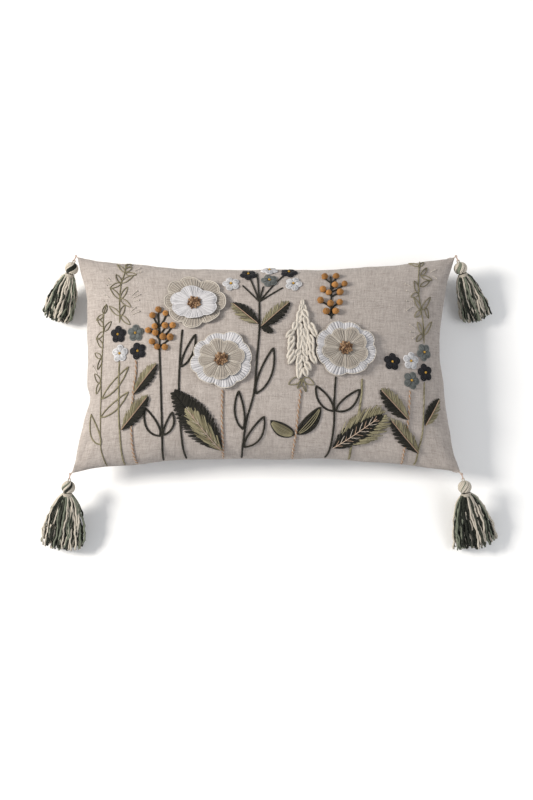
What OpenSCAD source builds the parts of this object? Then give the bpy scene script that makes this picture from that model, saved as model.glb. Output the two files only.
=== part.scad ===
// Lumbar throw cushion with an embroidered and applique front, a zipped back and a yarn tassel at
// each corner. It lies on its back: +X runs along its width, +Y towards its top edge, +Z up through
// the embroidered front. The origin is the middle of the flat patch that it rests on.

/* [Cover] */
// Width of the flat cover, seam to seam
cover_w = 610; // [508:1:732]
// Height of the flat cover, seam to seam
cover_h = 355; // [296:1:426]
// Length that filling takes off each corner
corner_take_in = 5; // [3:0.5:8]
// How far filling draws in the middle of the left and right edges
side_draw_in = 20; // [10:1:26]
// How far filling draws in the middle of the top and bottom edges
end_draw_in = 20; // [10:1:26]
// Thickness of the linen
linen_t = 1.2; // [0.8:0.1:1.6]

/* [Filling] */
// Height of the edge seam above the floor
seam_z = 50; // [42:1:60]
// Rise of the front above the seam
front_rise = 72; // [60:1:86]
// Depth of the back that the floor presses flat
press_flat = 20; // [16:1:26]
// Thickness of the insert's cotton case
case_t = 0.8; // [0.6:0.1:1.2]
// Gap between the cover and the insert
insert_gap = 2.6; // [2.2:0.1:4]
// Gap between the insert's case and its fibre
fibre_gap = 1.8; // [1:0.1:2]

/* [Zip] */
// Distance of the zip below the middle of the back
zip_drop = 60; // [50:1:66]
// Length of closed seam left at each end of the zip
zip_margin = 135; // [130:1:170]
// Radius of each half of the zip's coil
coil_r = 1.3; // [1.1:0.05:1.5]
// Thickness of the zip's tape
tape_t = 0.6; // [0.4:0.05:0.8]
// Width of each half of the tape
tape_w = 13; // [11:0.5:14]
// Length of the slider
slider_len = 11; // [9:0.5:13]
// Thickness of the slider's plates
plate_t = 0.8; // [0.6:0.05:1]
// Clearance of the slider on the coil and the tape
slide_gap = 0.25; // [0.2:0.05:0.35]
// Length of the slider's pull
pull_len = 25; // [18:1:30]
// Width of the slider's pull
pull_w = 6; // [5:0.5:8]
// Thickness of the slider's pull
pull_t = 1.1; // [0.8:0.1:1.4]
// Radius of the pin that the pull turns on
pull_pin_r = 0.45; // [0.4:0.05:0.5]

/* [Tassels] */
// Diameter of a tassel's wrapped head
head_d = 21; // [17:0.5:26]
// Length of the upper tassels' skirts
upper_skirt = 81; // [68:1:97]
// Length of the lower tassels' skirts
lower_skirt = 91; // [76:1:109]
// Width of the upper tassels' skirts at their ends
upper_spread = 52; // [43:1:62]
// Width of the lower tassels' skirts at their ends
lower_spread = 70; // [58:1:84]
// Thickness of a skirt's end as it lies on the floor
skirt_end_t = 26; // [20:1:30]
// Radius of a tassel's neck
neck_r = 6.3; // [5:0.1:7]
// Thickness of the cord bound round the neck
binding_t = 1.6; // [1.2:0.1:2]
// Radius of the thread that a tassel hangs by
thread_r = 0.7; // [0.6:0.05:0.9]
// Length of the thread between its two eyes
thread_len = 7.5; // [6.5:0.5:12]
// Clearance between a thread eye and what it turns on
eye_gap = 0.3; // [0.2:0.05:0.4]

/* [Embroidery] */
// Width of a stem's stitching
stem_w = 2.6; // [2:0.1:3.2]
// Height of flat stitching above the linen
stitch_h = 1.4; // [1:0.1:1.6]
// Thickness of one layer of applique petals
petal_t = 0.9; // [0.6:0.1:1.2]
// Height of the gap between the two layers of applique petals
petal_gap = 1.8; // [1.4:0.1:2.4]
// Radius of the outer layer of an applique flower
poppy_r = 48; // [40:1:54]
// Radius of the inner layer of an applique flower
poppy_inner_r = 35; // [29:1:39]
// Radius of the stitched column that holds an applique flower
poppy_core_r = 3.2; // [2.6:0.1:4]
// Radius of a small five-petal blossom
blossom_r = 12.6; // [10.5:0.1:13.4]
// Radius of an amber bud
bud_r = 4.4; // [3.7:0.1:4.9]

/* [Hidden] */

// Filled half sizes, corner to corner
half_w = cover_w / 2 - corner_take_in;
half_h = cover_h / 2 - corner_take_in;
draw_power = 2.6;
back_fall = seam_z + press_flat;

// Heights at the zip, from the floor up
floor_gap = 0.4;
pull_eye_gap = 0.15;
pull_eye_wall = 0.35;
pull_eye_r = pull_pin_r + pull_eye_gap + pull_eye_wall;
pull_pin_z = floor_gap + max(pull_eye_r, pull_t / 2);
outer_plate_z = pull_pin_z + pull_eye_r + 0.3;
coil_z = outer_plate_z + plate_t + slide_gap + coil_r;
tape_z = coil_z + coil_r;
inner_plate_z = tape_z + tape_t + slide_gap;
sew_gap = 0.05;
panel_rise = tape_z - sew_gap - linen_t;
insert_rise = inner_plate_z + plate_t + 0.5;

// Distances across and along the zip
zip_y = -zip_drop;
zip_half = cover_w / 2 - zip_margin;
bridge_half = 0.45;
coil_y = bridge_half + 0.15 + coil_r;
tape_inner = bridge_half + 0.45;
wall_t = 1;
slider_half_w = coil_y + coil_r + slide_gap + wall_t;
slot_half = slider_half_w + 2;
stop_len = 3;
slot_end = zip_half + 2 * stop_len;
slot_taper = 12;
tape_half = slot_end + slot_taper - 4;
flat_half = tape_inner + tape_w + 1;
ramp_w = 12;

// The slider rests at the closed end, one end gap from the stop
stop_gap = 0.3;
slider_x = -zip_half + slider_len / 2 + stop_gap;

// The layout of the embroidery is drawn on a sheet of this size, and stretched with the cover
sheet_half_w = 305;
sheet_half_h = 177.5;
motif = min(cover_w / 2 / sheet_half_w, cover_h / 2 / sheet_half_h);
// Stems are stitched first, close to the linen, and leaves over them
clear_h = 0.6;
leaf_h = clear_h + stitch_h + 0.1;

// Tassels: which corner, which way the tassel lies in plan, and its width
tack_out = 2.6;
tack_r = 0.6;
eye_wall = 1;
eye_h = 1.4;
eye_r = tack_r + eye_gap + eye_wall;
ear_t = 1;
ear_gap = 0.5;
ear_y = thread_r + ear_gap + ear_t / 2;
head_start = thread_r + eye_gap + eye_wall + 1;
head_x = head_start + head_d / 2;
neck_x = head_x + sqrt(pow(head_d / 2, 2) - pow(neck_r - 1, 2));
function skirt_end(c) = neck_x + c[4];
binding_gap = 0.2;
binding_w = 4;
function tassel_pitch(c) =
    asin(seam_z / norm([skirt_end(c), skirt_end_t / 2])) - atan(skirt_end_t / 2 / skirt_end(c));

// ---------------------------------------------------------------- the cushion's surface

// Cloth near the seam turns round the edge, so a point of the flat sheet moves outwards in plan
function turned(t, share, power) = t * (1 + share * (1 - pow(abs(t), power)));
function draw(amount, w) = amount * (1 - pow(abs(w), draw_power));
function plan_x(wu, wv, inset) = wu * (half_w - inset - draw(side_draw_in, wv));
function plan_y(wu, wv, inset) = wv * (half_h - inset - draw(end_draw_in, wu));
function crown(wu, wv) = sqrt(max(0, 1 - wu * wu)) * sqrt(max(0, 1 - wv * wv));

function front_point(wu, wv, inset, seam = 0) =
    [plan_x(wu, wv, inset), plan_y(wu, wv, inset),
     seam_z + seam + (front_rise - inset) * crown(wu, wv)];

// The share of the zip's lift at a distance from it: 1 beside the tape, easing to 0
function lift_share(d) = d <= flat_half ? 1 : d >= flat_half + ramp_w ? 0
    : (1 + cos(180 * (d - flat_half) / ramp_w)) / 2;

function back_point(wu, wv, inset, rise, seam = 0) =
    let (y = plan_y(wu, wv, inset),
         hang = seam_z - seam - min(seam_z - inset, (back_fall - inset) * crown(wu, wv)))
    [plan_x(wu, wv, inset), y, max(hang, rise * lift_share(abs(y - zip_y)))];

// The row of a panel that lies a distance from the zip, as a share of the half height there
function row_at(y, wu, inset) = y / (half_h - inset - draw(end_draw_in, wu));

// Rows of one back panel at a column: a few beside the zip, then evenly turned to the seam
function panel_rows(wu, inset, side, beside, free) =
    let (near = [for (d = beside) row_at(zip_y + side * d, wu, inset)],
         from = asin(near[len(near) - 1]))
    concat(near, [for (k = [1 : free]) sin(from + (90 * side - from) * k / free)]);

// ---------------------------------------------------------------- meshes

function flat(lists) = [for (l = lists) each l];
function quad(a, b, c, d) = [[a, b, c], [a, c, d]];

// A closed solid between two grids of points, of nu columns by nv rows, the first one above
module between(top, bottom, nu, nv) {
    n = nu * nv;
    function at(i, j) = i * nv + j;
    top_faces = flat([for (i = [0 : nu - 2]) for (j = [0 : nv - 2])
        quad(at(i, j), at(i, j + 1), at(i + 1, j + 1), at(i + 1, j))]);
    bottom_faces = flat([for (i = [0 : nu - 2]) for (j = [0 : nv - 2])
        quad(n + at(i, j), n + at(i + 1, j), n + at(i + 1, j + 1), n + at(i, j + 1))]);
    low_side = flat([for (i = [0 : nu - 2])
        quad(n + at(i, 0), at(i, 0), at(i + 1, 0), n + at(i + 1, 0))]);
    high_side = flat([for (i = [0 : nu - 2])
        quad(n + at(i + 1, nv - 1), at(i + 1, nv - 1), at(i, nv - 1), n + at(i, nv - 1))]);
    left_side = flat([for (j = [0 : nv - 2])
        quad(n + at(0, j + 1), at(0, j + 1), at(0, j), n + at(0, j))]);
    right_side = flat([for (j = [0 : nv - 2])
        quad(n + at(nu - 1, j), at(nu - 1, j), at(nu - 1, j + 1), n + at(nu - 1, j + 1))]);
    polyhedron(concat(top, bottom),
        concat(high_side, low_side, left_side, right_side, top_faces, bottom_faces));
}

// A solid through rings of points, each ring with the same number of points
function tube(rings, closed = false) =
    let (m = len(rings[0]), n = len(rings), last = closed ? n - 1 : n - 2,
         sides = flat([for (i = [0 : last]) for (k = [0 : m - 1])
             let (j = (i + 1) % n, l = (k + 1) % m)
             quad(i * m + k, i * m + l, j * m + l, j * m + k)]),
         caps = closed ? [] : [[for (k = [m - 1 : -1 : 0]) k], [for (k = [0 : m - 1]) (n - 1) * m + k]])
    [flat(rings), concat(sides, caps)];

// Several separate solids as one polyhedron
module solids(meshes) {
    starts = [for (i = 0, s = 0; i < len(meshes); s = s + len(meshes[i][0]), i = i + 1) s];
    polyhedron(flat([for (m = meshes) m[0]]),
        flat([for (i = [0 : len(meshes) - 1]) [for (f = meshes[i][1]) [for (k = f) k + starts[i]]]]));
}

// ---------------------------------------------------------------- stitching on the front

// Place on the outer face of the front panel of a point of the layout sheet
function linen_point(p) =
    front_point(turned(p[0] / sheet_half_w, 0.09, 11), turned(p[1] / sheet_half_h, 0.168, 6), 0);

function unit(v) = v / norm(v);
function linen_normal(p) =
    let (e = 0.5)
    unit(cross(linen_point([p[0] + e, p[1]]) - linen_point([p[0] - e, p[1]]),
               linen_point([p[0], p[1] + e]) - linen_point([p[0], p[1] - e])));
function above_linen(p, h) = linen_point(p) + linen_normal(p) * h;

// A smooth run of n steps through hand-picked points, by Catmull-Rom
function smooth(pts, n) =
    let (last = len(pts) - 1)
    [for (k = [0 : n])
        let (s = min(k * last / n, last - 1e-6), i = floor(s), t = s - i,
             a = pts[max(i - 1, 0)], b = pts[i], c = pts[i + 1], d = pts[min(i + 2, last)])
        (2 * b + (c - a) * t + (2 * a - 5 * b + 4 * c - d) * t * t
            + (3 * b - a - 3 * c + d) * t * t * t) / 2];

// Unit vector to the right of a path at its point i
function right_of(path, i, closed) =
    let (n = len(path),
         a = path[closed ? (i + n - 1) % n : max(i - 1, 0)],
         b = path[closed ? (i + 1) % n : min(i + 1, n - 1)], t = unit(b - a))
    [t[1], -t[0]];

// A raised band along a path, from left[i] to right[i] beside it, narrower on top
top_share = 0.6;
function band(path, left, right, low = clear_h, closed = false) =
    tube([for (i = [0 : len(path) - 1])
        let (r = right_of(path, i, closed), mid = (left[i] + right[i]) / 2,
             low_l = path[i] + r * left[i], low_r = path[i] + r * right[i],
             high_l = path[i] + r * (mid + (left[i] - mid) * top_share),
             high_r = path[i] + r * (mid + (right[i] - mid) * top_share))
        [above_linen(low_l, low), above_linen(low_r, low),
         above_linen(high_r, low + stitch_h), above_linen(high_l, low + stitch_h)]], closed);

function stroke(pts, n, w = stem_w, low = clear_h) =
    let (path = smooth(pts, n), half = [for (p = path) w / 2])
    band(path, -half, half, low);

// Centre line of a leaf from its base to its tip, bowed sideways by bend
function leaf_line(base, tip, bend, t) =
    let (along = tip - base, side = unit([along[1], -along[0]]))
    base + along * t + side * bend * 4 * t * (1 - t);
function leaf_half_width(w, t) = w * pow(max(0, sin(180 * pow(t, 0.85))), 0.8);

leaf_steps = 6;
function leaf_outline(base, tip, w, bend = 0, thread = stem_w) =
    let (path = [for (k = [0 : 2 * leaf_steps - 1])
             let (up = k < leaf_steps, t = (up ? k + 0.5 : 2 * leaf_steps - k - 0.5) / leaf_steps,
                  along = unit(tip - base), side = [along[1], -along[0]])
             leaf_line(base, tip, bend, t) + side * (up ? -1 : 1) * leaf_half_width(w, t)],
         half = [for (p = path) thread / 2])
    band(path, -half, half, leaf_h, true);

// One side of a filled leaf, between two shares of its half width: side 1 is to the right
function leaf_side(base, tip, w, bend, side, from = 0, to = 1, clear = 1) =
    let (ts = [for (k = [0 : leaf_steps]) 0.05 + 0.9 * k / leaf_steps],
         path = [for (t = ts) leaf_line(base, tip, bend, t)],
         near = [for (t = ts) clear + from * leaf_half_width(w, t)],
         far = [for (i = [0 : leaf_steps]) max(near[i] + 0.6, to * leaf_half_width(w, ts[i]))])
    side > 0 ? band(path, near, far, leaf_h) : band(path, -far, -near, leaf_h);

vein_lift = 0.3;
function leaf_vein(base, tip, bend) =
    stroke([for (t = [0.04, 0.35, 0.65, 0.96]) leaf_line(base, tip, bend, t)], 6, 1.4, leaf_h + vein_lift);

// Puts children on the plane that touches the linen at a point of the layout, turned in that plane
module on_linen(p, h = clear_h, turn = 0) {
    o = above_linen(p, h);
    z = linen_normal(p);
    x = unit(linen_point([p[0] + 0.5, p[1]]) - linen_point([p[0] - 0.5, p[1]]));
    y = cross(z, x);
    multmatrix([[x[0], y[0], z[0], o[0]], [x[1], y[1], z[1], o[1]], [x[2], y[2], z[2], o[2]]])
        rotate(turn) children();
}

function scallops(r, lobes, depth, n) =
    [for (k = [0 : lobes * n - 1])
        let (a = 360 * k / (lobes * n)) r * (1 - depth * (1 - abs(sin(lobes * a / 2)))) * [cos(a), sin(a)]];

// Domed knot of stitching, round in plan
module knot(r, h) {
    rotate_extrude($fn = 24)
        polygon(concat([[0, 0]], [for (a = [0 : 18 : 90]) [r * cos(a), h * sin(a)]]));
}

// Open loop of thread, pointed at its start, lying along +X
module thread_loop(length, width, thread) {
    ts = [for (k = [0 : 5]) k / 5];
    function edge(l, w, x0) =
        concat([for (t = ts) [x0 + l * t, w * sqrt(max(0, sin(180 * pow(t, 1.3))))]],
               [for (k = [4 : -1 : 1]) [x0 + l * ts[k], -w * sqrt(max(0, sin(180 * pow(ts[k], 1.3))))]]);
    outer = edge(length, width / 2, 0);
    inner = edge(length - 2 * thread - 1.5, width / 2 - thread, thread + 1);
    n = len(outer);
    linear_extrude(stitch_h * 0.8)
        polygon(concat(outer, inner), [[for (k = [0 : n - 1]) k], [for (k = [0 : n - 1]) n + k]]);
}

// ---------------------------------------------------------------- cover

columns_beside = 5;
columns_free = 6;
column_scale = half_w - draw(side_draw_in, zip_y / (half_h - end_draw_in));
slot_column = slot_end / column_scale;
taper_column = (slot_end + slot_taper) / column_scale;
right_columns = concat([for (k = [1 : columns_beside]) slot_column * k / columns_beside], [taper_column],
    [for (k = [1 : columns_free]) sin(asin(taper_column) + (90 - asin(taper_column)) * k / columns_free)]);
columns = concat([for (k = [len(right_columns) - 1 : -1 : 0]) -right_columns[k]], [0], right_columns);
front_rows = [for (a = [-90 : 180 / 20 : 90.01]) sin(min(a, 90))];
beside_rows = [flat_half, flat_half + ramp_w / 3, flat_half + 2 * ramp_w / 3, flat_half + ramp_w];
slot_tolerance = 0.001;
function slot_at(wu) = abs(wu) <= slot_column + slot_tolerance ? slot_half : 0;

module front_panel() {
    color("#c7b8ac")
        between([for (wu = columns) for (wv = front_rows) front_point(wu, wv, 0)],
                [for (wu = columns) for (wv = front_rows) front_point(wu, wv, linen_t)],
                len(columns), len(front_rows));
}

module back_panel(side, free) {
    rows = len(beside_rows) + 1 + free;
    function grid(inset, rise) = [for (wu = columns)
        let (ws = panel_rows(wu, inset, side, concat([slot_at(wu)], beside_rows), free))
        for (j = [0 : rows - 1]) back_point(wu, ws[side > 0 ? j : rows - 1 - j], inset, rise)];
    between(grid(linen_t, panel_rise + linen_t), grid(0, panel_rise), len(columns), rows);
}

module back_upper_panel() { color("#c2b3a7") back_panel(1, 9); }
module back_lower_panel() { color("#c2b3a7") back_panel(-1, 7); }

// ---------------------------------------------------------------- insert

insert_columns = [for (a = [-90 : 180 / 20 : 90.01]) sin(min(a, 90))];
insert_beside = [flat_half, flat_half + ramp_w + 3];
insert_free = 7;
insert_rows = 2 * (len(insert_beside) + insert_free) + 1;

// Rows of the whole insert at a column, from its bottom edge to its top edge
function whole_rows(wu, inset) =
    let (low = panel_rows(wu, inset, -1, concat([0], insert_beside), insert_free),
         high = panel_rows(wu, inset, 1, concat([0], insert_beside), insert_free))
    concat([for (k = [len(low) - 1 : -1 : 1]) low[k]], high);
function insert_front_grid(inset, seam = 0) =
    [for (wu = insert_columns) for (wv = whole_rows(wu, inset)) front_point(wu, wv, inset, seam)];
function insert_back_grid(inset, rise, seam = 0) =
    [for (wu = insert_columns) for (wv = whole_rows(wu, inset)) back_point(wu, wv, inset, rise, seam)];
case_in = linen_t + insert_gap;
fibre_in = case_in + case_t + fibre_gap;
fibre_rim = 0.5;

module insert_front() {
    color("#ece8e0")
        between(insert_front_grid(case_in), insert_front_grid(case_in + case_t),
                len(insert_columns), insert_rows);
}

module insert_back() {
    color("#ece8e0")
        between(insert_back_grid(case_in + case_t, insert_rise + case_t),
                insert_back_grid(case_in, insert_rise), len(insert_columns), insert_rows);
}

module fibre_fill() {
    color("#f7f6f2")
        between(insert_front_grid(fibre_in, fibre_rim),
                insert_back_grid(fibre_in, insert_rise + case_t + fibre_gap, fibre_rim),
                len(insert_columns), insert_rows);
}

// ---------------------------------------------------------------- zip

module zip_tape(side) {
    color("#b9aa9c")
        translate([-tape_half, side > 0 ? zip_y + tape_inner : zip_y - tape_inner - tape_w, tape_z])
        cube([2 * tape_half, tape_w, tape_t]);
}

module zip_coil(side) {
    color("#a89a8d")
        translate([-zip_half, zip_y + side * coil_y, coil_z])
        rotate([0, 90, 0]) cylinder(r = coil_r, h = 2 * zip_half, $fn = 32);
}

module zip_stop(side) {
    half = coil_y + coil_r;
    color("#8c8f91")
        translate([side > 0 ? zip_half + stop_gap : -zip_half - stop_gap - stop_len,
                   zip_y - half, coil_z - coil_r])
        cube([stop_len, 2 * half, 2 * coil_r]);
}

post_t = 1;
post_y = 1.6;
module zip_slider() {
    wall_top = tape_z - slide_gap;
    color("#8c8f91") translate([slider_x, zip_y, 0]) union() {
        translate([-slider_len / 2, -slider_half_w, outer_plate_z])
            cube([slider_len, 2 * slider_half_w, plate_t]);
        for (side = [-1, 1])
            translate([-slider_len / 2, side > 0 ? slider_half_w - wall_t : -slider_half_w, outer_plate_z])
                cube([slider_len, wall_t, wall_top - outer_plate_z]);
        translate([-slider_len / 2, -slider_half_w, inner_plate_z])
            cube([slider_len, 2 * slider_half_w, plate_t]);
        translate([-slider_len / 2, -bridge_half, outer_plate_z])
            cube([slider_len / 3, 2 * bridge_half, inner_plate_z + plate_t - outer_plate_z]);
        for (side = [-1, 1])
            translate([-post_t, side > 0 ? post_y : -post_y - post_t, pull_pin_z - pull_pin_r - 0.2])
                cube([2 * post_t, post_t, outer_plate_z + plate_t - pull_pin_z + pull_pin_r + 0.2]);
        translate([0, post_y + post_t / 2, pull_pin_z])
            rotate([90, 0, 0]) cylinder(r = pull_pin_r, h = 2 * post_y + post_t, $fn = 24);
    }
}

// The pull's narrow neck fits between the slider's posts, and its tab widens past them
module zip_pull() {
    neck_half = post_y - 0.35;
    neck_len = 3.2;
    color("#9b9ea0") translate([slider_x, zip_y, pull_pin_z]) difference() {
        union() {
            translate([0, neck_half, 0]) rotate([90, 0, 0])
                cylinder(r = pull_eye_r, h = 2 * neck_half, $fn = 24);
            translate([0, -neck_half, -pull_t / 2]) cube([neck_len + 1, 2 * neck_half, pull_t]);
            translate([neck_len, -pull_w / 2, -pull_t / 2])
                cube([pull_len - neck_len - pull_w / 2, pull_w, pull_t]);
            translate([pull_len - pull_w / 2, 0, -pull_t / 2])
                cylinder(r = pull_w / 2, h = pull_t, $fn = 32);
        }
        translate([0, neck_half + 1, 0]) rotate([90, 0, 0])
            cylinder(r = pull_pin_r + pull_eye_gap, h = 2 * neck_half + 2, $fn = 24);
        translate([pull_len - pull_w / 2, 0, -pull_t]) cylinder(r = pull_w / 5, h = 2 * pull_t, $fn = 24);
    }
}

// ---------------------------------------------------------------- tassels

// Sign of each corner in X and Y, then the way its tassel lies in plan, how wide it spreads and how long it is
top_left = [-1, 1, 249.5, upper_spread, upper_skirt];
top_right = [1, 1, -68.5, upper_spread, upper_skirt];
bottom_left = [-1, -1, 261.5, lower_spread, lower_skirt];
bottom_right = [1, -1, -77, lower_spread, lower_skirt];
corner_way = [0.8, 0.6];

module at_tack(c) {
    translate([c[0] * (half_w + tack_out * corner_way[0]), c[1] * (half_h + tack_out * corner_way[1]), seam_z])
        children();
}
module at_loop(c) { at_tack(c) rotate(c[2]) children(); }
module at_tassel(c) { at_loop(c) translate([thread_len, 0, 0]) rotate([0, tassel_pitch(c), 0]) children(); }

// Thread tacks sewn into the corners: a short upright bar held by two stitches into the seam
module corner_tacks() {
    bar_half = eye_h / 2 + 0.4;
    stitch_t = 0.9;
    reach = tack_out + 3;
    color("#d9c9bb") for (c = [top_left, top_right, bottom_left, bottom_right]) at_tack(c) union() {
        translate([0, 0, -bar_half - stitch_t]) cylinder(r = tack_r, h = 2 * (bar_half + stitch_t), $fn = 24);
        for (z = [-bar_half - stitch_t, bar_half])
            rotate(atan2(-c[1] * corner_way[1], -c[0] * corner_way[0]))
                translate([0, -tack_r, z]) cube([reach, 2 * tack_r, stitch_t]);
    }
}

// Hanging thread: an eye round the corner tack, a strand, and a cross bar that the tassel swings on
module hanging_loop(c) {
    color("#dcc7b6") at_loop(c) union() {
        difference() {
            translate([0, 0, -eye_h / 2]) cylinder(r = eye_r, h = eye_h, $fn = 32);
            translate([0, 0, -eye_h]) cylinder(r = tack_r + eye_gap, h = 2 * eye_h, $fn = 32);
        }
        translate([tack_r + eye_gap + eye_wall / 2, 0, 0]) rotate([0, 90, 0])
            cylinder(r = thread_r * 0.9, h = thread_len - tack_r - eye_gap - eye_wall / 2, $fn = 24);
        translate([thread_len, ear_y + ear_t / 2 + 0.6, 0]) rotate([90, 0, 0])
            cylinder(r = thread_r, h = 2 * ear_y + ear_t + 1.2, $fn = 24);
    }
}

// Wrapped ball with two thread ears that turn on the loop's cross bar
module tassel_head(c) {
    bore = thread_r + eye_gap;
    color("#cfc9bd") at_tassel(c) difference() {
        union() {
            translate([head_x, 0, 0]) rotate([0, 90, 0])
                rotate_extrude($fn = 48)
                polygon(concat([[0, -head_d / 2]],
                    [for (a = [-75 : 15 : 45]) head_d / 2 * [cos(a), sin(a)]],
                    [[neck_r - 1, neck_x - head_x], [0, neck_x - head_x]]));
            for (side = [-1, 1]) translate([0, side * ear_y + ear_t / 2, 0]) rotate([90, 0, 0]) {
                cylinder(r = bore + eye_wall, h = ear_t, $fn = 32);
                translate([0, -eye_wall, 0]) cube([head_start + 1.5, 2 * eye_wall, ear_t]);
            }
        }
        for (side = [-1, 1]) translate([0, side * ear_y + ear_t, 0]) rotate([90, 0, 0])
            cylinder(r = bore, h = 2 * ear_t, $fn = 32);
    }
}

// Cord bound round the neck
module tassel_binding(c) {
    color("#d8d2c4") at_tassel(c) translate([neck_x + 0.6, 0, 0]) rotate([0, 90, 0]) difference() {
        cylinder(r = neck_r + binding_gap + binding_t, h = binding_w, $fn = 48);
        translate([0, 0, -1]) cylinder(r = neck_r + binding_gap, h = binding_w + 2, $fn = 48);
    }
}

// Bundle of yarn strands: round at the neck, then flat and fanned as it lies on the floor
module tassel_skirt(c) {
    gap = 0.1;
    shares = [0, 0.06, 0.12, 0.25, 0.45, 0.7, 0.9, 1];
    sides = 16;
    function ease(s) = s <= 0.06 ? 0 : pow(sin(90 * (s - 0.06) / 0.94), 0.6);
    rings = [for (s = shares)
        let (x = neck_x + gap + (c[4] - gap) * s,
             a = neck_r + (c[3] / 2 - neck_r) * ease(s),
             b = neck_r + (skirt_end_t / 2 - neck_r) * ease(s))
        [for (k = [0 : sides - 1]) [x, -a * cos(360 * k / sides), -b * sin(360 * k / sides)]]];
    color("#5b5e50") at_tassel(c) solids([tube(rings)]);
}

// ---------------------------------------------------------------- layout of the embroidery

// Points are on the layout sheet, in millimetres from its middle
bud_stem = [[-162, 8], [-159, -40], [-157, -70], [-152, -119], [-147, -166]];
bud_stem_upper = [[-164, 64], [-163, 44], [-162, 30], [-162, 13]];
poppy_left_stem = [[-127, 38], [-130, 0], [-131, -50], [-127, -96], [-121, -135], [-114, -166]];
umbel_node = [-10, 83];
umbel_stem = [[-10, 79], [-10, 39], [-13, 0], [-18, -58], [-28, -96], [-33, -132], [-35, -166]];
right_bud_stem_upper = [[96, 130], [98, 100], [99, 64]];
right_bud_stem = [[105, -38], [102, -70], [100, -103], [93, -140], [85, -166]];
umbel_rays = [[-34, 111], [-25, 122], [-12, 130], [-4, 106], [22, 122], [25, 107]];

module dark_stems() {
    rays = [for (r = umbel_rays)
        let (d = unit(r - umbel_node)) stroke([umbel_node + d * 5, (umbel_node + r) / 2 + d * 2, r], 3, 2.2)];
    color("#37362f") solids(concat([
        stroke(bud_stem_upper, 4), stroke(bud_stem, 16), stroke(poppy_left_stem, 16),
        stroke(umbel_stem, 20), stroke(right_bud_stem_upper, 5), stroke(right_bud_stem, 14)], rays));
}

module olive_stems() {
    color("#8b876c") solids([
        stroke([[-225, -8], [-225, -40], [-222, -80], [-214, -122], [-203, -166]], 16, 2),
        stroke([[244, -36], [241, -66], [234, -104], [222, -136], [213, -166]], 16, 2),
        stroke([[145, -38], [143, -62], [134, -103], [124, -134], [119, -166]], 16, 3.4)]);
}

module cord_stems() {
    color("#b19a80") solids([
        stroke([[-198, -8], [-198, -26], [-201, -50], [-200, -100], [-193, -138], [-185, -166]], 15, 2.2),
        stroke([[-65, -56], [-65, -90], [-63, -126], [-61, -166]], 15, 2.2),
        stroke([[52, -56], [48, -85], [44, -117], [40, -142], [38, -166]], 15, 2.2),
        stroke([[219, -50], [216, -72], [210, -104], [200, -140], [195, -166]], 15, 2.2)]);
}

dark_outlines = [
    [[-155, -118], [-181, -76], 8, -3], [[-150, -117], [-141, -86], 6, 3],
    [[-126, -16], [-107, 30], 6, 2], [[-15, -60], [11, 9], 9, 3],
    [[-35, -112], [-41, -56], 7, -2], [[-31, -142], [-3, -93], 9, 3],
    [[99, -84], [75, -48], 8, -2], [[105, -84], [140, -51], 8, 3],
    [[40, -120], [7, -100], 9, -3], [[47, -119], [81, -79], 9, 3]
];
olive_outlines = [[[-250, -56], [-211, -15], 6, 3], [[-249, -82], [-210, -51], 6, 3],
                  [[-244, -122], [-271, -75], 7, -3]];

module outline_leaves_dark() {
    color("#37362f") solids([for (l = dark_outlines) leaf_outline(l[0], l[1], l[2], l[3])]);
}

module outline_leaves_olive() {
    color("#8b876c") solids([for (l = olive_outlines) leaf_outline(l[0], l[1], l[2], l[3], 1.8)]);
}

// Two-tone leaves: base, tip, half width, bow, and the side, seen from the base, that is dark
two_tone = [
    [[-12, 46], [-52, 81], 11, 0, 1], [[-7, 42], [37, 83], 11, 0, 1],
    [[-198, -54], [-165, -12], 9, 0, 1], [[-213, -104], [-177, -58], 11, 0, 1],
    [[212, -89], [172, -49], 12, 0, -1], [[222, -138], [185, -91], 12, 0, -1],
    [[240, -94], [270, -54], 9, 0, -1]
];
// Large leaves have a border of one colour round a filling of the other
large_leaves = [[[-66, -145], [-143, -50], 19, 0], [[97, -140], [177, -84], 19, 0]];
border_from = 0.58;

module leaf_halves_dark() {
    a = large_leaves[0];
    b = large_leaves[1];
    color("#37362f") solids(concat(
        [for (l = two_tone) leaf_side(l[0], l[1], l[2], l[3], l[4])],
        [for (s = [-1, 1]) leaf_side(a[0], a[1], a[2], a[3], s, border_from, 1, 1.4)],
        [for (s = [-1, 1]) leaf_side(b[0], b[1], b[2], b[3], s, 0, border_from)]));
}

module leaf_halves_olive() {
    a = large_leaves[0];
    b = large_leaves[1];
    pair = [for (k = [8, 9]) dark_outlines[k]];
    color("#7d7b60") solids(concat(
        [for (l = two_tone) leaf_side(l[0], l[1], l[2], l[3], -l[4])],
        [for (s = [-1, 1]) leaf_side(a[0], a[1], a[2], a[3], s, 0, border_from)],
        [for (s = [-1, 1]) leaf_side(b[0], b[1], b[2], b[3], s, border_from, 1, 1.4)],
        [for (l = pair) for (s = [-1, 1]) leaf_side(leaf_line(l[0], l[1], l[3], 0.16),
            leaf_line(l[0], l[1], l[3], 0.84), l[2] * 0.55, l[3] / 2, s)]));
}

module leaf_veins() {
    color("#d8ccb8") solids(concat(
        [for (l = two_tone) leaf_vein(l[0], l[1], l[3])],
        [for (l = large_leaves) leaf_vein(l[0], l[1], l[3])]));
}

// A vine: its stem, then thread loops that grow from points along it, each with a direction
module vine(line, steps, loops) {
    color("#8f8b70") {
        solids([stroke(line, steps, 1.6)]);
        for (l = loops) on_linen(l[0], clear_h, l[1]) translate([2.6 * motif, 0, 0])
            thread_loop(13 * motif, 7 * motif, 1.2 * motif);
    }
}

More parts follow.
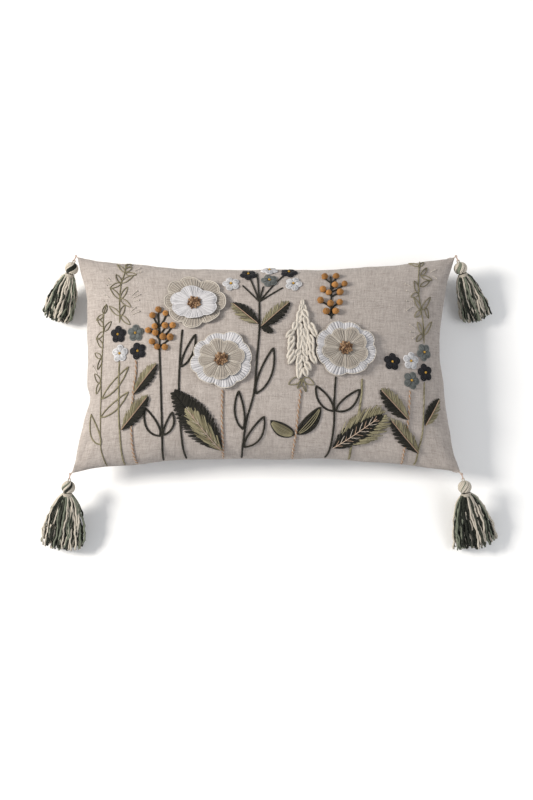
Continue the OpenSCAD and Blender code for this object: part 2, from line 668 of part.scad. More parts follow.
module vine_left_outer() {
    vine([[-247, 80], [-253, 61], [-254, 30], [-256, -10], [-256, -50], [-252, -86], [-245, -124], [-235, -150],
          [-229, -166]], 16,
        [for (k = [0 : 4]) each [[[-253 - 0.7 * k, 62 - 22 * k], 142], [[-253 - 0.7 * k, 62 - 22 * k], 48]]]);
}

module vine_left_inner() {
    vine([[-205, 162], [-211, 134], [-219, 112], [-224, 84], [-225, 52]], 9,
        [for (k = [0 : 3]) each [[[-212 - 4 * k, 132 - 23 * k], 150], [[-212 - 4 * k, 132 - 23 * k], 40]]]);
}

module vine_right() {
    vine([[228, 166], [229, 138], [233, 100], [240, 70], [245, 46], [246, 24]], 10,
        [for (k = [0 : 4]) each [[[230 + 3.6 * k, 142 - 24 * k], 140], [[230 + 3.6 * k, 142 - 24 * k], 34]]]);
}

// ---------------------------------------------------------------- applique flowers

poppy_left = [-108, 84];
poppy_centre = [-68, -8];
poppy_right = [120, 9];
base_h = leaf_h + stitch_h + 0.3;
top_h = base_h + petal_t + petal_gap;
core_gap = 0.2;

module petal_layer(r, lobes, depth) {
    linear_extrude(petal_t) difference() {
        polygon(scallops(r * motif, lobes, depth, 6));
        circle(r = (poppy_core_r + core_gap) * motif, $fn = 32);
    }
}

module poppy_base(p, turn) { on_linen(p, base_h, turn) petal_layer(poppy_r, 8, 0.1); }
module poppy_top(p, turn) { on_linen(p, top_h, turn) petal_layer(poppy_inner_r, 7, 0.12); }

// Stitched column through both layers, with a ring of knots on top of it
module poppy_knots(p, knots) {
    seat = top_h + petal_t + 0.1;
    knot_r = 3 * motif;
    color("#a5805c") union() {
        on_linen(p) cylinder(r = poppy_core_r * motif, h = seat - clear_h + 2.6, $fn = 32);
        on_linen(p, seat) for (k = [0 : knots - 1])
            rotate(360 * k / knots) translate([2.2 * knot_r, 0, 0]) knot(knot_r, 3.2);
    }
}

module poppy_left_base() { color("#b9a998") poppy_base(poppy_left, 10); }
module poppy_left_top() { color("#e9e7e3") poppy_top(poppy_left, 24); }
module poppy_left_knots() { poppy_knots(poppy_left, 6); }
module poppy_centre_base() { color("#e9e7e3") poppy_base(poppy_centre, 0); }
module poppy_centre_top() { color("#b9a998") poppy_top(poppy_centre, 12); }
module poppy_centre_knots() { poppy_knots(poppy_centre, 6); }
module poppy_right_base() { color("#e9e7e3") poppy_base(poppy_right, 20); }
module poppy_right_top() { color("#b9a998") poppy_top(poppy_right, 0); }
module poppy_right_knots() { poppy_knots(poppy_right, 6); }

// ---------------------------------------------------------------- small blossoms, buds and spray

blossom_h = 1.8;
dark_places = [[-227, 34], [-195, 8], [-26, 136], [34, 142], [192, -8], [246, -20]];
grey_places = [[-199, 35], [5, 122], [245, 9], [222, -33]];
white_places = [[-224, 6], [-52, 115], [5, 150], [41, 115], [222, -5]];

module blossom_group(places) {
    for (i = [0 : len(places) - 1]) on_linen(places[i], clear_h, 90 + 17 * i)
        linear_extrude(blossom_h) polygon(scallops(blossom_r * motif, 5, 0.45, 6));
}

module dark_blossoms() { color("#3a4049") blossom_group(dark_places); }
module grey_blossoms() { color("#7f8783") blossom_group(grey_places); }
module white_blossoms() { color("#e6e6e4") blossom_group(white_places); }

module blossom_centres() {
    color("#c99a3c") for (p = concat(dark_places, grey_places, white_places))
        on_linen(p, clear_h + blossom_h + sew_gap) knot(2 * motif, 1.8);
}

bud_h = 4.6;
module buds(places) {
    color("#b27a3a") for (p = places) on_linen(p) knot(bud_r * motif, bud_h);
}

module amber_buds_left() {
    buds([[-164, 72], [-152, 64], [-173, 61], [-171, 47], [-180, 38], [-169, 35], [-153, 45], [-141, 45],
          [-154, 28], [-143, 28], [-175, 22], [-170, 12], [-153, 12]]);
}

module amber_buds_right() {
    buds([[86, 133], [105, 133], [117, 120], [104, 115], [87, 110], [104, 98], [116, 104],
          [83, 91], [105, 83], [92, 74], [108, 68]]);
}

// Paired loops of thick cream thread that lap down a short stalk
module cream_spray() {
    rows = 10;
    color("#e4dccb") {
        for (k = [0 : rows - 1]) {
            y = 66 - 9.6 * k;
            half = 9 + 6 * sin(180 * pow((k + 0.5) / rows, 0.7));
            for (side = [-1, 1])
                on_linen([55 + side * half, y], clear_h, side > 0 ? -40 : -140)
                    linear_extrude(3) polygon([for (a = [0 : 30 : 330])
                        motif * [5 * cos(a) + (cos(a) > 0 ? 2 : -2), 2.6 * sin(a)]]);
        }
        for (y = [80, 72]) on_linen([55, y], clear_h, -90)
            linear_extrude(2.6) polygon([for (a = [0 : 30 : 330]) motif * [3.4 * cos(a), 2 * sin(a)]]);
    }
}

module green_bow() {
    color("#8b8f6e") solids([
        leaf_outline([50, -38], [34, -47], 5, 0, 1.6), leaf_outline([58, -38], [74, -47], 5, 0, 1.6),
        stroke([[51, -42], [46, -48], [45, -55]], 3, 1.6), stroke([[57, -42], [61, -48], [63, -53]], 3, 1.6)]);
}

// Fine pale twigs beside the vines: each a short straight stitch
pale_twigs = [
    [[-234, 117], [-242, 119]], [[-235, 112], [-243, 110]],
    [[-241, 90], [-248, 94]], [[-243, 84], [-251, 85]],
    [[-196, 139], [-187, 146]], [[-196, 133], [-186, 137]],
    [[-204, 93], [-195, 101]], [[-203, 89], [-191, 95]], [[-202, 84], [-193, 86]],
    [[-207, 68], [-199, 74]], [[-205, 63], [-193, 68]], [[-271, -13], [-277, -6]],
    [[221, 107], [210, 113]], [[221, 99], [213, 101]],
    [[224, 83], [214, 85]], [[224, 76], [215, 70]],
    [[231, 42], [221, 48]], [[231, 37], [222, 38]], [[233, 33], [226, 28]],
    [[249, 133], [256, 137]], [[252, 126], [262, 121]]
];
twig_w = 1.1;

module pale_sprigs() {
    color("#e6dfd0") solids([for (l = pale_twigs) stroke([l[0], (l[0] + l[1]) / 2, l[1]], 2, twig_w)]);
}

// ---------------------------------------------------------------- every node

front_panel();
back_upper_panel();
back_lower_panel();
insert_front();
insert_back();
fibre_fill();
zip_tape(1);  // zip_tape_upper
zip_tape(-1);  // zip_tape_lower
zip_coil(1);  // zip_coil_upper
zip_coil(-1);  // zip_coil_lower
zip_stop(-1);  // zip_stop_left
zip_stop(1);  // zip_stop_right
zip_slider();
zip_pull();
corner_tacks();
dark_stems();
olive_stems();
cord_stems();
outline_leaves_dark();
outline_leaves_olive();
leaf_halves_dark();
leaf_halves_olive();
leaf_veins();
vine_left_outer();
vine_left_inner();
vine_right();
poppy_left_base();
poppy_left_top();
poppy_left_knots();
poppy_centre_base();
poppy_centre_top();
poppy_centre_knots();
poppy_right_base();
poppy_right_top();
poppy_right_knots();
dark_blossoms();
grey_blossoms();
white_blossoms();
blossom_centres();
amber_buds_left();
amber_buds_right();
cream_spray();
green_bow();
pale_sprigs();
hanging_loop(top_left);  // loop_top_left
tassel_head(top_left);  // head_top_left
tassel_binding(top_left);  // binding_top_left
tassel_skirt(top_left);  // skirt_top_left
hanging_loop(top_right);  // loop_top_right
tassel_head(top_right);  // head_top_right
tassel_binding(top_right);  // binding_top_right
tassel_skirt(top_right);  // skirt_top_right
hanging_loop(bottom_left);  // loop_bottom_left
tassel_head(bottom_left);  // head_bottom_left
tassel_binding(bottom_left);  // binding_bottom_left
tassel_skirt(bottom_left);  // skirt_bottom_left
hanging_loop(bottom_right);  // loop_bottom_right
tassel_head(bottom_right);  // head_bottom_right
tassel_binding(bottom_right);  // binding_bottom_right
tassel_skirt(bottom_right);  // skirt_bottom_right
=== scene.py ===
"""Looks of an embroidered throw pillow with corner tassels, made round its packed frame."""

import math

import bpy
import numpy as np
from bpy.props import FloatProperty, FloatVectorProperty, IntProperty, PointerProperty
from bpy.types import Operator, Panel, PropertyGroup
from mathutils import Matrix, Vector


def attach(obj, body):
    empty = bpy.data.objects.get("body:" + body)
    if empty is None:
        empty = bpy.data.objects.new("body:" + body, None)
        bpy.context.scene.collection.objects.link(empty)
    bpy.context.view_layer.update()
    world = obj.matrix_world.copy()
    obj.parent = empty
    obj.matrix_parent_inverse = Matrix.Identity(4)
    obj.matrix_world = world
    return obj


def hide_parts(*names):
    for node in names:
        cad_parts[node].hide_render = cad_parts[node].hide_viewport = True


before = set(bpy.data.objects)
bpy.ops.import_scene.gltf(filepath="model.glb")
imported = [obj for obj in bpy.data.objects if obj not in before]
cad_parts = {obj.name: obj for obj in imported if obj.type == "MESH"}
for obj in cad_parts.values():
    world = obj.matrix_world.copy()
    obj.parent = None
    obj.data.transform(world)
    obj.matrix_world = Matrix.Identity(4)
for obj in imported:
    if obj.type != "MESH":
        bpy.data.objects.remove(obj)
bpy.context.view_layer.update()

bl_info = {
    "name": "Throw Pillow",
    "version": (1, 0, 0),
    "blender": (4, 5, 0),
    "location": "3D View > Sidebar > Pillow",
    "description": "Makes an embroidered lumbar pillow with applique flowers and corner tassels",
    "category": "Object",
}

MM = 0.001
TURN = 2 * math.pi
BODY = "cushion"
CORNERS = ("top_left", "top_right", "bottom_left", "bottom_right")

# The cover's shape, in millimetres, as the frame has it
SHEET = np.array((305.0, 177.5))
HALF_W, HALF_H = 300.0, 172.5
SIDE_DRAW, END_DRAW, DRAW_POWER = 20.0, 20.0, 2.6
SEAM_Z, FRONT_RISE, BACK_FALL = 50.0, 72.0, 70.0
LINEN_T = 1.2
ZIP_Y, ZIP_FLAT, ZIP_RAMP, ZIP_RISE = -60.0, 14.9, 12.0, 5.0
SLOT_HALF, SLOT_END, SLOT_TAPER = 6.45, 176.0, 12.0
# How far the sheet turns outwards near the seam, and its power: along the cover, then across it
TURN_ALONG, TURN_ACROSS = (0.09, 11), (0.168, 6)
GOLDEN = 2.39996

# ---------------------------------------------------------------- settings


def colour(name, about, value):
    """A colour setting."""
    return FloatVectorProperty(
        name=name, description=about, default=value, size=3, min=0, max=1, subtype="COLOR"
    )


def length(name, about, value, low, high):
    """A length setting, in metres."""
    return FloatProperty(
        name=name, description=about, default=value, min=low, max=high, unit="LENGTH", subtype="DISTANCE"
    )


class CoverSettings(PropertyGroup):
    """Linen, and how the filling swells it"""

    linen: colour("Linen", "Middle colour of the linen", (0.425, 0.38, 0.35))
    slub: colour("Slub", "Colour of the linen's thicker, paler threads", (0.60, 0.54, 0.50))
    # The hollows colour is the dark end of the linen's thread tones, and linen() also darkens the weave's
    # hollows towards it as painted shade.
    shade: colour("Dark tone and weave shade", "Colour between the linen's threads", (0.245, 0.205, 0.18))
    thread: length("Thread", "Distance from one linen thread to the next", 0.0016, 0.0004, 0.003)
    swell: length("Swell", "Most that the filling moves the cloth", 0.008, 0.0, 0.012)
    pucker: length("Pucker", "Depth of the gathers beside the seam", 0.0011, 0.0, 0.003)
    pressure: FloatProperty(name="Pressure", description="Pressure of the filling", default=5.0, min=0,
        max=20)


class ThreadSettings(PropertyGroup):
    """Embroidery threads"""

    dark: colour("Dark", "Dark leaf and stem wool", (0.011, 0.011, 0.008))
    dark_light: colour("Dark, worn", "Paler strands of the dark wool", (0.045, 0.040, 0.029))
    olive: colour("Olive", "Olive leaf and stem wool", (0.165, 0.145, 0.082))
    olive_light: colour("Olive, pale", "Paler strands of the olive wool", (0.40, 0.36, 0.23))
    cream: colour("Cream", "Cream cotton", (0.76, 0.70, 0.62))
    tan: colour("Tan", "Tan cotton in cords and knots", (0.36, 0.19, 0.095))
    amber: colour("Amber", "Amber wool of the buds", (0.42, 0.20, 0.06))
    gold: colour("Gold", "Gold thread at the blossoms' centres", (0.72, 0.42, 0.07))
    stem_width: length("Stem width", "Width of a stitched stem", 0.0036, 0.0015, 0.005)


class FlowerSettings(PropertyGroup):
    """Applique flowers and small blossoms"""

    taupe: colour("Taupe petal", "Taupe petal linen", (0.285, 0.25, 0.215))
    white: colour("White petal", "White petal cotton", (0.68, 0.67, 0.69))
    charcoal: colour("Charcoal", "Charcoal felt blossoms", (0.018, 0.018, 0.022))
    grey: colour("Grey", "Grey-green felt blossoms", (0.155, 0.168, 0.165))
    pearl: colour("Pearl", "White felt blossoms", (0.66, 0.66, 0.68))
    radius: length("Flower radius", "Radius of a large flower", 0.048, 0.03, 0.06)
    blossom: length("Blossom radius", "Radius of a small blossom", 0.0126, 0.008, 0.016)


class TasselSettings(PropertyGroup):
    """Yarn tassels"""

    cream: colour("Cream yarn", "Pale strands", (0.62, 0.565, 0.48))
    sage: colour("Sage yarn", "Grey-green strands", (0.215, 0.24, 0.18))
    charcoal: colour("Charcoal yarn", "Dark strands", (0.014, 0.016, 0.011))
    cord: colour("Hanging cord", "Cord that the tassel hangs on", (0.62, 0.44, 0.36))
    yarn: length("Yarn radius", "Radius of a strand", 0.00145, 0.0006, 0.002)
    strands: IntProperty(name="Strands", description="Strands in one tassel", default=125, min=40, max=260)


class StageSettings(PropertyGroup):
    """Floor, lights and camera"""

    floor: colour("Floor", "Floor colour", (0.93, 0.93, 0.93))
    key: FloatProperty(name="Key light", description="Strength of the main soft light", default=152,
        min=0, unit="POWER")
    fill: FloatProperty(name="Fill light", description="Strength of the fill light", default=18, min=0,
        unit="POWER")
    ambient: FloatProperty(name="Ambient", description="Strength of the light from all round",
        default=0.47, min=0)
    lens: FloatProperty(name="Lens", description="Focal length", default=58.3, min=20, max=200,
        unit="CAMERA")


GROUPS = {
    "pillow_cover": CoverSettings,
    "pillow_thread": ThreadSettings,
    "pillow_flower": FlowerSettings,
    "pillow_tassel": TasselSettings,
    "pillow_stage": StageSettings,
}

# ---------------------------------------------------------------- materials


class Value:
    """A node's output socket, or a link to be made from it, that takes part in Python sums."""

    def __init__(self, tree, socket):
        self.tree, self.socket = tree, socket

    def maths(self, operation, other=None, swap=False, clamp=False):
        """Adds a Math node on this value and another, in that order or swapped."""
        node = self.tree.nodes.new("ShaderNodeMath")
        node.operation, node.use_clamp = operation, clamp
        terms = [self] if other is None else ([other, self] if swap else [self, other])
        for place, term in enumerate(terms):
            if isinstance(term, Value):
                self.tree.links.new(term.socket, node.inputs[place])
            else:
                node.inputs[place].default_value = term
        return Value(self.tree, node.outputs[0])

    def __add__(self, other):
        return self.maths("ADD", other)

    def __sub__(self, other):
        return self.maths("SUBTRACT", other)

    def __rsub__(self, other):
        return self.maths("SUBTRACT", other, swap=True)

    def __mul__(self, other):
        return self.maths("MULTIPLY", other)

    def __truediv__(self, other):
        return self.maths("DIVIDE", other)

    def __rtruediv__(self, other):
        return self.maths("DIVIDE", other, swap=True)

    __radd__, __rmul__ = __add__, __mul__


class Finish:
    """A procedural material: its nodes are added by one method, and its sums are written as Python."""

    def __init__(self, name, roughness=0.9, sheen=0.0, **constants):
        self.material = bpy.data.materials.new(name)
        self.material.use_nodes = True
        self.tree = self.material.node_tree
        self.surface = self.tree.nodes["Principled BSDF"]
        self.surface.inputs["Roughness"].default_value = roughness
        self.surface.inputs["Sheen Weight"].default_value = sheen
        self.surface.inputs["Sheen Roughness"].default_value = 0.6
        self.surface.inputs["Specular IOR Level"].default_value = 0.14
        for key, value in constants.items():
            self.surface.inputs[key.replace("_", " ").title()].default_value = value

    def node(self, kind, settings=None, output=0, **sockets):
        """Adds a node: its settings first, then a value or a link for each named or numbered socket."""
        made = self.tree.nodes.new("ShaderNode" + kind)
        for key, value in (settings or {}).items():
            if key == "stops":
                ramp = made.color_ramp.elements
                while len(ramp) < len(value):
                    ramp.new(0.5)
                for element, (place, shade) in zip(ramp, value):
                    element.position, element.color = place, (*shade, 1)
            else:
                setattr(made, key, value)
        for key, value in sockets.items():
            socket = made.inputs[int(key[1:])] if key[1:].isdigit() else made.inputs[key]
            if isinstance(value, Value):
                self.tree.links.new(value.socket, socket)
            else:
                socket.default_value = value
        return Value(self.tree, made.outputs[output])

    def uv(self):
        return self.node("UVMap", {"uv_map": "UVMap"})

    def place(self):
        return self.node("TexCoord", output="Object")

    def attribute(self, name):
        return self.node("Attribute", {"attribute_name": name}, output="Fac")

    def parts(self, vector):
        """The three values of a vector."""
        split = self.node("SeparateXYZ", _0=vector)
        node = split.socket.node
        return [Value(self.tree, node.outputs[k]) for k in range(3)]

    def joined(self, x, y, z=0.0):
        """A vector from three values."""
        return self.node("CombineXYZ", _0=x, _1=y, _2=z)

    def noise(self, vector, scale, detail=2.0, roughness=0.5, distortion=0.0):
        return self.node(
            "TexNoise", Vector=vector, Scale=scale, Detail=detail, Roughness=roughness,
                Distortion=distortion
        )

    def mix(self, share, low, high, blend="MIX"):
        low = low if isinstance(low, Value) else (*low, 1)
        high = high if isinstance(high, Value) else (*high, 1)
        return self.node(
            "Mix", {"data_type": "RGBA", "blend_type": blend}, output=2, _0=share, _6=low, _7=high
        )

    def ramp(self, value, stops):
        return self.node("ValToRGB", {"stops": stops}, _0=value)

    def feed(self, socket, value):
        self.tree.links.new(value.socket, self.surface.inputs[socket])

    def bump(self, height, depth, strength=1.0):
        """Relief of the surface, with its depth in metres."""
        self.feed("Normal", self.node("Bump", Strength=strength, Distance=depth, Height=height))


FINISHES = {}


def thread_of(name, *look):
    """The spun thread of a name, made once."""
    if name not in FINISHES:
        FINISHES[name] = spun(name, *look)
    return FINISHES[name]


def shaded(share, shade):
    """A colour times a share."""
    return [share * x for x in shade]


def linen(name, middle, pale, shade, pitch, contrast=1.0):
    """Plain-woven linen on the cut sheet's own measure. Each thread is a bump where it passes over, the
    product of a sine along and a sine across. Each warp and weft thread has a tone of its own,
        noise read at
    the thread's number, that drifts slowly along it. The hollows between the threads are darkened
    towards the shade colour: painted shade."""
    f = Finish(name, roughness=0.93, sheen=0.12)
    x, y, _ = f.parts(f.uv())
    sway = f.noise(f.joined(x, y), 25.0, 2.0) * (1.6 * pitch)
    across, along = (x + sway) / pitch, (y + sway) / pitch
    weave = ((across * (TURN / 2)).maths("SINE") * (along * (TURN / 2)).maths("SINE")).maths("ABSOLUTE")
    warp = f.noise(f.joined(across.maths("FLOOR") * 7.31, y * 55.0), 1.0, 2.0, 0.6)
    weft = f.noise(f.joined(x * 55.0, along.maths("FLOOR") * 7.31), 1.0, 2.0, 0.6)
    specks = f.noise(f.joined(x, y), 620.0, 2.0, 0.6)
    broad = f.noise(f.joined(x, y), 9.0, 3.0)
    slubs = (warp * 0.45 + weft * 0.45 + specks * 0.42 - 0.66) * (3.4 * contrast) + 0.5
    base = f.mix(slubs.maths("MULTIPLY", 1.0, clamp=True), shade, pale)
    base = f.mix(0.30, base, middle)
    # Painted shade: the hollows of the weave are darkened towards the shade colour.
    base = f.mix((1 - weave) * 0.30, base, shade)
    base = f.mix(broad * 0.22, base, pale)
    f.feed("Base Color", base)
    f.bump(weave * 0.5 + slubs * 0.6, 0.0008, 0.9)
    return f.material


def spun(name, colours, pitch=0.0024, roughness=0.82, sheen=0.06, fuzz=900.0, depth=0.00035):
    """Twisted thread or yarn. Its own tone picks a colour, and its plies are a sine of the turn round it
    plus the distance along it. The grooves between the plies are darkened as painted shade, and fibre
    noise darkens it a little as well."""
    f = Finish(name, roughness=roughness, sheen=sheen)
    around, along, _ = f.parts(f.uv())
    tone = f.attribute("tone")
    ply = ((around + along / pitch) * (2 * TURN)).maths("SINE") * 0.5 + 0.5
    fibres = f.noise(f.place(), fuzz, 2.0, 0.6)
    stops = [(k / max(1, len(colours) - 1), c) for k, c in enumerate(colours)]
    base = f.ramp((tone + (fibres - 0.5) * 0.35).maths("MULTIPLY", 1.0, clamp=True), stops)
    # Painted shade: the colour is darkened in the grooves between the plies, and a little by fibre noise.
    ply_shade_and_fibre_tone = f.mix(1.0, base, (0.42, 0.40, 0.38), "MULTIPLY")
    f.feed("Base Color", f.mix((1 - ply) * 0.55 + (1 - fibres) * 0.12, base, ply_shade_and_fibre_tone))
    f.bump(ply * 0.7 + fibres * 0.6, depth, 0.9)
    return f.material


def petal_cloth(name, middle, ray, shade, rays):
    """Petal cloth on a polar map: rays are a sine of the turn, and a fine weave lies under them. The
    weave's hollows are darkened towards the shade colour as painted shade, and random specks darken it
    too.
    """
    f = Finish(name, roughness=0.9, sheen=0.15)
    turn, out, _ = f.parts(f.uv())
    lines = ((turn + f.noise(f.joined(turn * 40.0, out * 60.0), 1.0) * 0.012) * (TURN * rays)).maths("SINE")
    x, y, z = f.parts(f.place())
    weave = ((x * (TURN / 0.0011)).maths("SINE") * (y * (TURN / 0.0011)).maths("SINE")) * 0.5 + 0.5
    specks = f.noise(f.joined(x, y, z), 700.0, 3.0, 0.65)
    base = f.mix((lines * 0.5 + 0.5) * 0.75, ray, middle)
    # Painted shade in the weave's hollows, together with random dark specks.
    base = f.mix((1 - weave) * 0.25 + (1 - specks) * 0.3, base, shade)
    f.feed("Base Color", base)
    f.bump(lines * 0.35 + weave * 0.3 + specks * 0.3, 0.0005, 0.8)
    return f.material


def plain_cloth(name, middle, shade, scale=900.0):
    """Fine cotton or wadding: two scales of noise."""
    f = Finish(name, roughness=0.92, sheen=0.2)
    place = f.place()
    fine = f.noise(place, scale, 3.0, 0.6)
    broad = f.noise(place, 30.0, 2.0)
    f.feed("Base Color", f.mix(fine * 0.6 + broad * 0.3, shade, middle))
    f.bump(fine, 0.0005, 0.7)
    return f.material


def ribbed(name, middle, shade, pitch, axis=0, metallic=0.0, roughness=0.7):
    """Ribs at an even pitch along one axis, as on zip tape and a wound coil. The hollow of each rib is
    darkened towards the shade colour as painted shade, and fine noise varies it too.
    """
    f = Finish(name, roughness=roughness, metallic=metallic)
    place = f.parts(f.place())
    ribs = (place[axis] * (TURN / pitch)).maths("SINE") * 0.5 + 0.5
    fine = f.noise(f.joined(*place), 1200.0, 2.0)
    # Painted shade: the rib hollows are darkened towards the shade colour, mixed with fine noise.
    f.feed("Base Color", f.mix(ribs * 0.7 + fine * 0.3, shade, middle))
    f.bump(ribs * 0.8 + fine * 0.3, 0.0003, 0.8)
    return f.material


def brushed_metal(name, middle, shade):
    """Plated metal with faint rubbed streaks."""
    f = Finish(name, roughness=0.35, metallic=1.0)
    x, y, z = f.parts(f.place())
    streaks = f.noise(f.joined(x * 300.0, y * 2500.0, z * 2500.0), 1.0, 3.0)
    f.feed("Base Color", f.mix(streaks, shade, middle))
    f.feed("Roughness", streaks * 0.25 + 0.25)
    f.bump(streaks, 0.00008, 0.5)
    return f.material


# ---------------------------------------------------------------- shapes


def unit(v):
    """Vectors divided by their lengths."""
    return v / np.maximum(np.linalg.norm(v, axis=-1, keepdims=True), 1e-12)


def tubes(spine, up, radius, sides=6, flat=1.0):
    """Skins of n threads of k points each. Round each point lies a ring: the point, plus the radius times
    the cosine of the turn sideways and its sine, flattened, upwards. Returns points, quads, end caps, and
    the turn and the length along of every quad corner."""
    n, k = spine.shape[:2]
    run = unit(np.gradient(spine, axis=1))
    side = unit(np.cross(up, run))
    rise = np.cross(run, side)
    turn = np.arange(sides) / sides * TURN
    ring = side[:, :, None] * np.cos(turn)[:, None] + rise[:, :, None] * np.sin(turn)[:, None] * flat
    points = (spine[:, :, None] + ring * radius[:, :, None, None]).reshape(-1, 3)
    i, j, m = np.meshgrid(np.arange(n), np.arange(k - 1), np.arange(sides), indexing="ij")
    at = (i * k + j) * sides
    after = (m + 1) % sides
    quads = np.stack([at + m, at + after, at + sides + after, at + sides + m], -1).reshape(-1, 4)
    far = np.concatenate([np.zeros((n, 1)),
        np.cumsum(np.linalg.norm(np.diff(spine, axis=1), axis=-1), 1)], 1)
    u = np.stack([m, m + 1, m + 1, m], -1) / sides
    v = np.stack([far[i, j], far[i, j], far[i, j + 1], far[i, j + 1]], -1)
    first = np.arange(n)[:, None] * k * sides
    caps = np.concatenate([first + np.arange(sides)[::-1], first + (k - 1) * sides + np.arange(sides)])
    return points, quads, caps, np.stack([u, v], -1).reshape(-1, 4, 2)


def mesh_piece(name, points, faces, uvs=None, tones=None, smooth=True):
    """An object from points in metres and blocks of faces, with a map by corner and a tone by point."""
    mesh = bpy.data.meshes.new(name)
    mesh.from_pydata(points.tolist(), [], [f for block in faces for f in block.tolist()])
    if uvs is not None:
        layer = mesh.uv_layers.new(name="UVMap")
        flat = np.concatenate([u.reshape(-1, 2) for u in uvs])
        layer.data.foreach_set("uv", flat.astype(np.float32).ravel())
    if tones is not None:
        mesh.attributes.new("tone", "FLOAT", "POINT").data.foreach_set("value", tones.astype(np.float32))
    mesh.polygons.foreach_set("use_smooth", np.full(len(mesh.polygons), smooth))
    mesh.update()
    piece = bpy.data.objects.new(name, mesh)
    bpy.context.scene.collection.objects.link(piece)
    return piece


class Bundle:
    """Threads of one piece, gathered and then made one mesh."""

    def __init__(self):
        self.points, self.faces, self.uvs, self.tones, self.count = [], [], [], [], 0

    def add(self, spine, up, radius, tone, sides=6, flat=1.0):
        """Adds n threads; the radius and tone may be one number, one a thread, or one a point."""
        n, k = spine.shape[:2]
        radius = np.broadcast_to(np.asarray(radius, float), (n, k))
        points, quads, caps, uv = tubes(spine, np.broadcast_to(up, spine.shape), radius, sides, flat)
        tone = np.asarray(tone, float)
        tone = tone[:, None] if tone.ndim == 1 else tone
        self.tones.append(np.repeat(np.broadcast_to(tone, (n, k)).reshape(-1), sides))
        self.points.append(points)
        self.faces += [quads + self.count, caps + self.count]
        self.uvs += [uv, np.zeros((len(caps), sides, 2))]
        self.count += len(points)

    def piece(self, name, material, *nodes, body=BODY, slot=None):
        made = mesh_piece(name, np.concatenate(self.points), self.faces, self.uvs,
            np.concatenate(self.tones))
        return settle(made, material, nodes, body)


def settle(piece, material, nodes, body=BODY):
    """Gives a piece its material and its body, and hides the CAD nodes that it stands for."""
    piece.data.materials.append(material)
    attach(piece, body)
    if nodes:
        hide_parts(*nodes)
    return piece


def smooth_line(points, gap):
    """A Catmull-Rom line through the points, then spaced evenly by length at about the gap."""
    p = np.asarray(points, float)
    p = np.concatenate([[2 * p[0] - p[1]], p, [2 * p[-1] - p[-2]]])
    t = np.linspace(0, 1, 13)[:-1, None]
    a, b, c, d = p[:-3, None], p[1:-2, None], p[2:-1, None], p[3:, None]
    line = 0.5 * (2 * b + (c - a) * t + (2 * a - 5 * b + 4 * c - d) * t**2 + (3 * b - 3 * c + d - a) * t**3)
    line = np.concatenate([line.reshape(-1, p.shape[1]), p[-2:-1]])
    far = np.concatenate([[0], np.cumsum(np.linalg.norm(np.diff(line, axis=0), axis=1))])
    even = np.linspace(0, far[-1], max(4, int(round(far[-1] / gap)) + 1))
    return np.stack([np.interp(even, far, line[:, k]) for k in range(p.shape[1])], -1), even


def beside(line):
    """Unit vectors to the right of a line on the sheet."""
    run = unit(np.gradient(line, axis=0))
    return np.stack([run[:, 1], -run[:, 0]], -1)


# ---------------------------------------------------------------- the cover's surface


def grid_quads(ids):
    """Four corners of every cell of a grid of point numbers, counted round so that the face looks up."""
    return np.stack([ids[:-1, :-1], ids[1:, :-1], ids[1:, 1:], ids[:-1, 1:]], -1).reshape(-1, 4)


def turned(t, share, power):
    """The sheet's place t, moved outwards near the seam by a share of one less its power."""
    return t * (1 + share * (1 - np.abs(t) ** power))


def plan(u, v):
    """Place in plan of shares u, v: each half size less the draw, which is full in the middle of a side
    and nothing at the corners."""
    x = u * (HALF_W - SIDE_DRAW * (1 - np.abs(v) ** DRAW_POWER))
    y = v * (HALF_H - END_DRAW * (1 - np.abs(u) ** DRAW_POWER))
    return x, y


def crown(u, v):
    """Rise of the cushion as a share: the circle's height at u times the circle's height at v."""
    return np.sqrt(np.clip(1 - u * u, 0, 1)) * np.sqrt(np.clip(1 - v * v, 0, 1))


def front_shape(s, t):
    """The front over places of the sheet: the plan, raised from the seam's level by the front's rise times
    the crown."""
    u, v = turned(s / SHEET[0], *TURN_ALONG), turned(t / SHEET[1], *TURN_ACROSS)
    x, y = plan(u, v)
    return np.stack([x, y, SEAM_Z + FRONT_RISE * crown(u, v)], -1)


def lift(y):
    """Share of the zip's lift: one beside it, then half a cosine down to nothing over the ramp."""
    d = np.clip((np.abs(y - ZIP_Y) - ZIP_FLAT) / ZIP_RAMP, 0, 1)
    return (1 + np.cos(math.pi * d)) / 2


def back_shape(u, v):
    """The back: it hangs below the seam by its fall times the crown, lies flat on the floor, and is lifted
    beside the zip."""
    x, y = plan(u, v)
    hang = SEAM_Z - np.minimum(SEAM_Z, BACK_FALL * crown(u, v))
    return np.stack([x, y, np.maximum(hang, ZIP_RISE * lift(y))], -1)


def on_grid(grid, i, j):
    """Catmull-Rom surface through a grid of points, at shares i and j of its columns and rows."""
    n, m = grid.shape[:2]
    wide = np.concatenate([2 * grid[:1] - grid[1:2], grid, 2 * grid[-1:] - grid[-2:-1]])
    wide = np.concatenate([2 * wide[:, :1] - wide[:, 1:2], wide, 2 * wide[:, -1:] - wide[:, -2:-1]], 1)
    x, y = np.clip(i, 0, 1) * (n - 1), np.clip(j, 0, 1) * (m - 1)
    a, b = np.minimum(x.astype(int), n - 2), np.minimum(y.astype(int), m - 2)

    def weights(t):
        """The four points' shares at a place t between the middle two: Catmull and Rom's cubics."""
        return (
            0.5 * (-t + 2 * t**2 - t**3),
            0.5 * (2 - 5 * t**2 + 3 * t**3),
            0.5 * (t + 4 * t**2 - 3 * t**3),
            0.5 * (t**3 - t**2),
        )

    total = 0
    for p, wx in enumerate(weights(x - a)):
        for q, wy in enumerate(weights(y - b)):
            total = total + wide[a + p, b + q] * (wx * wy)[..., None]
    return total


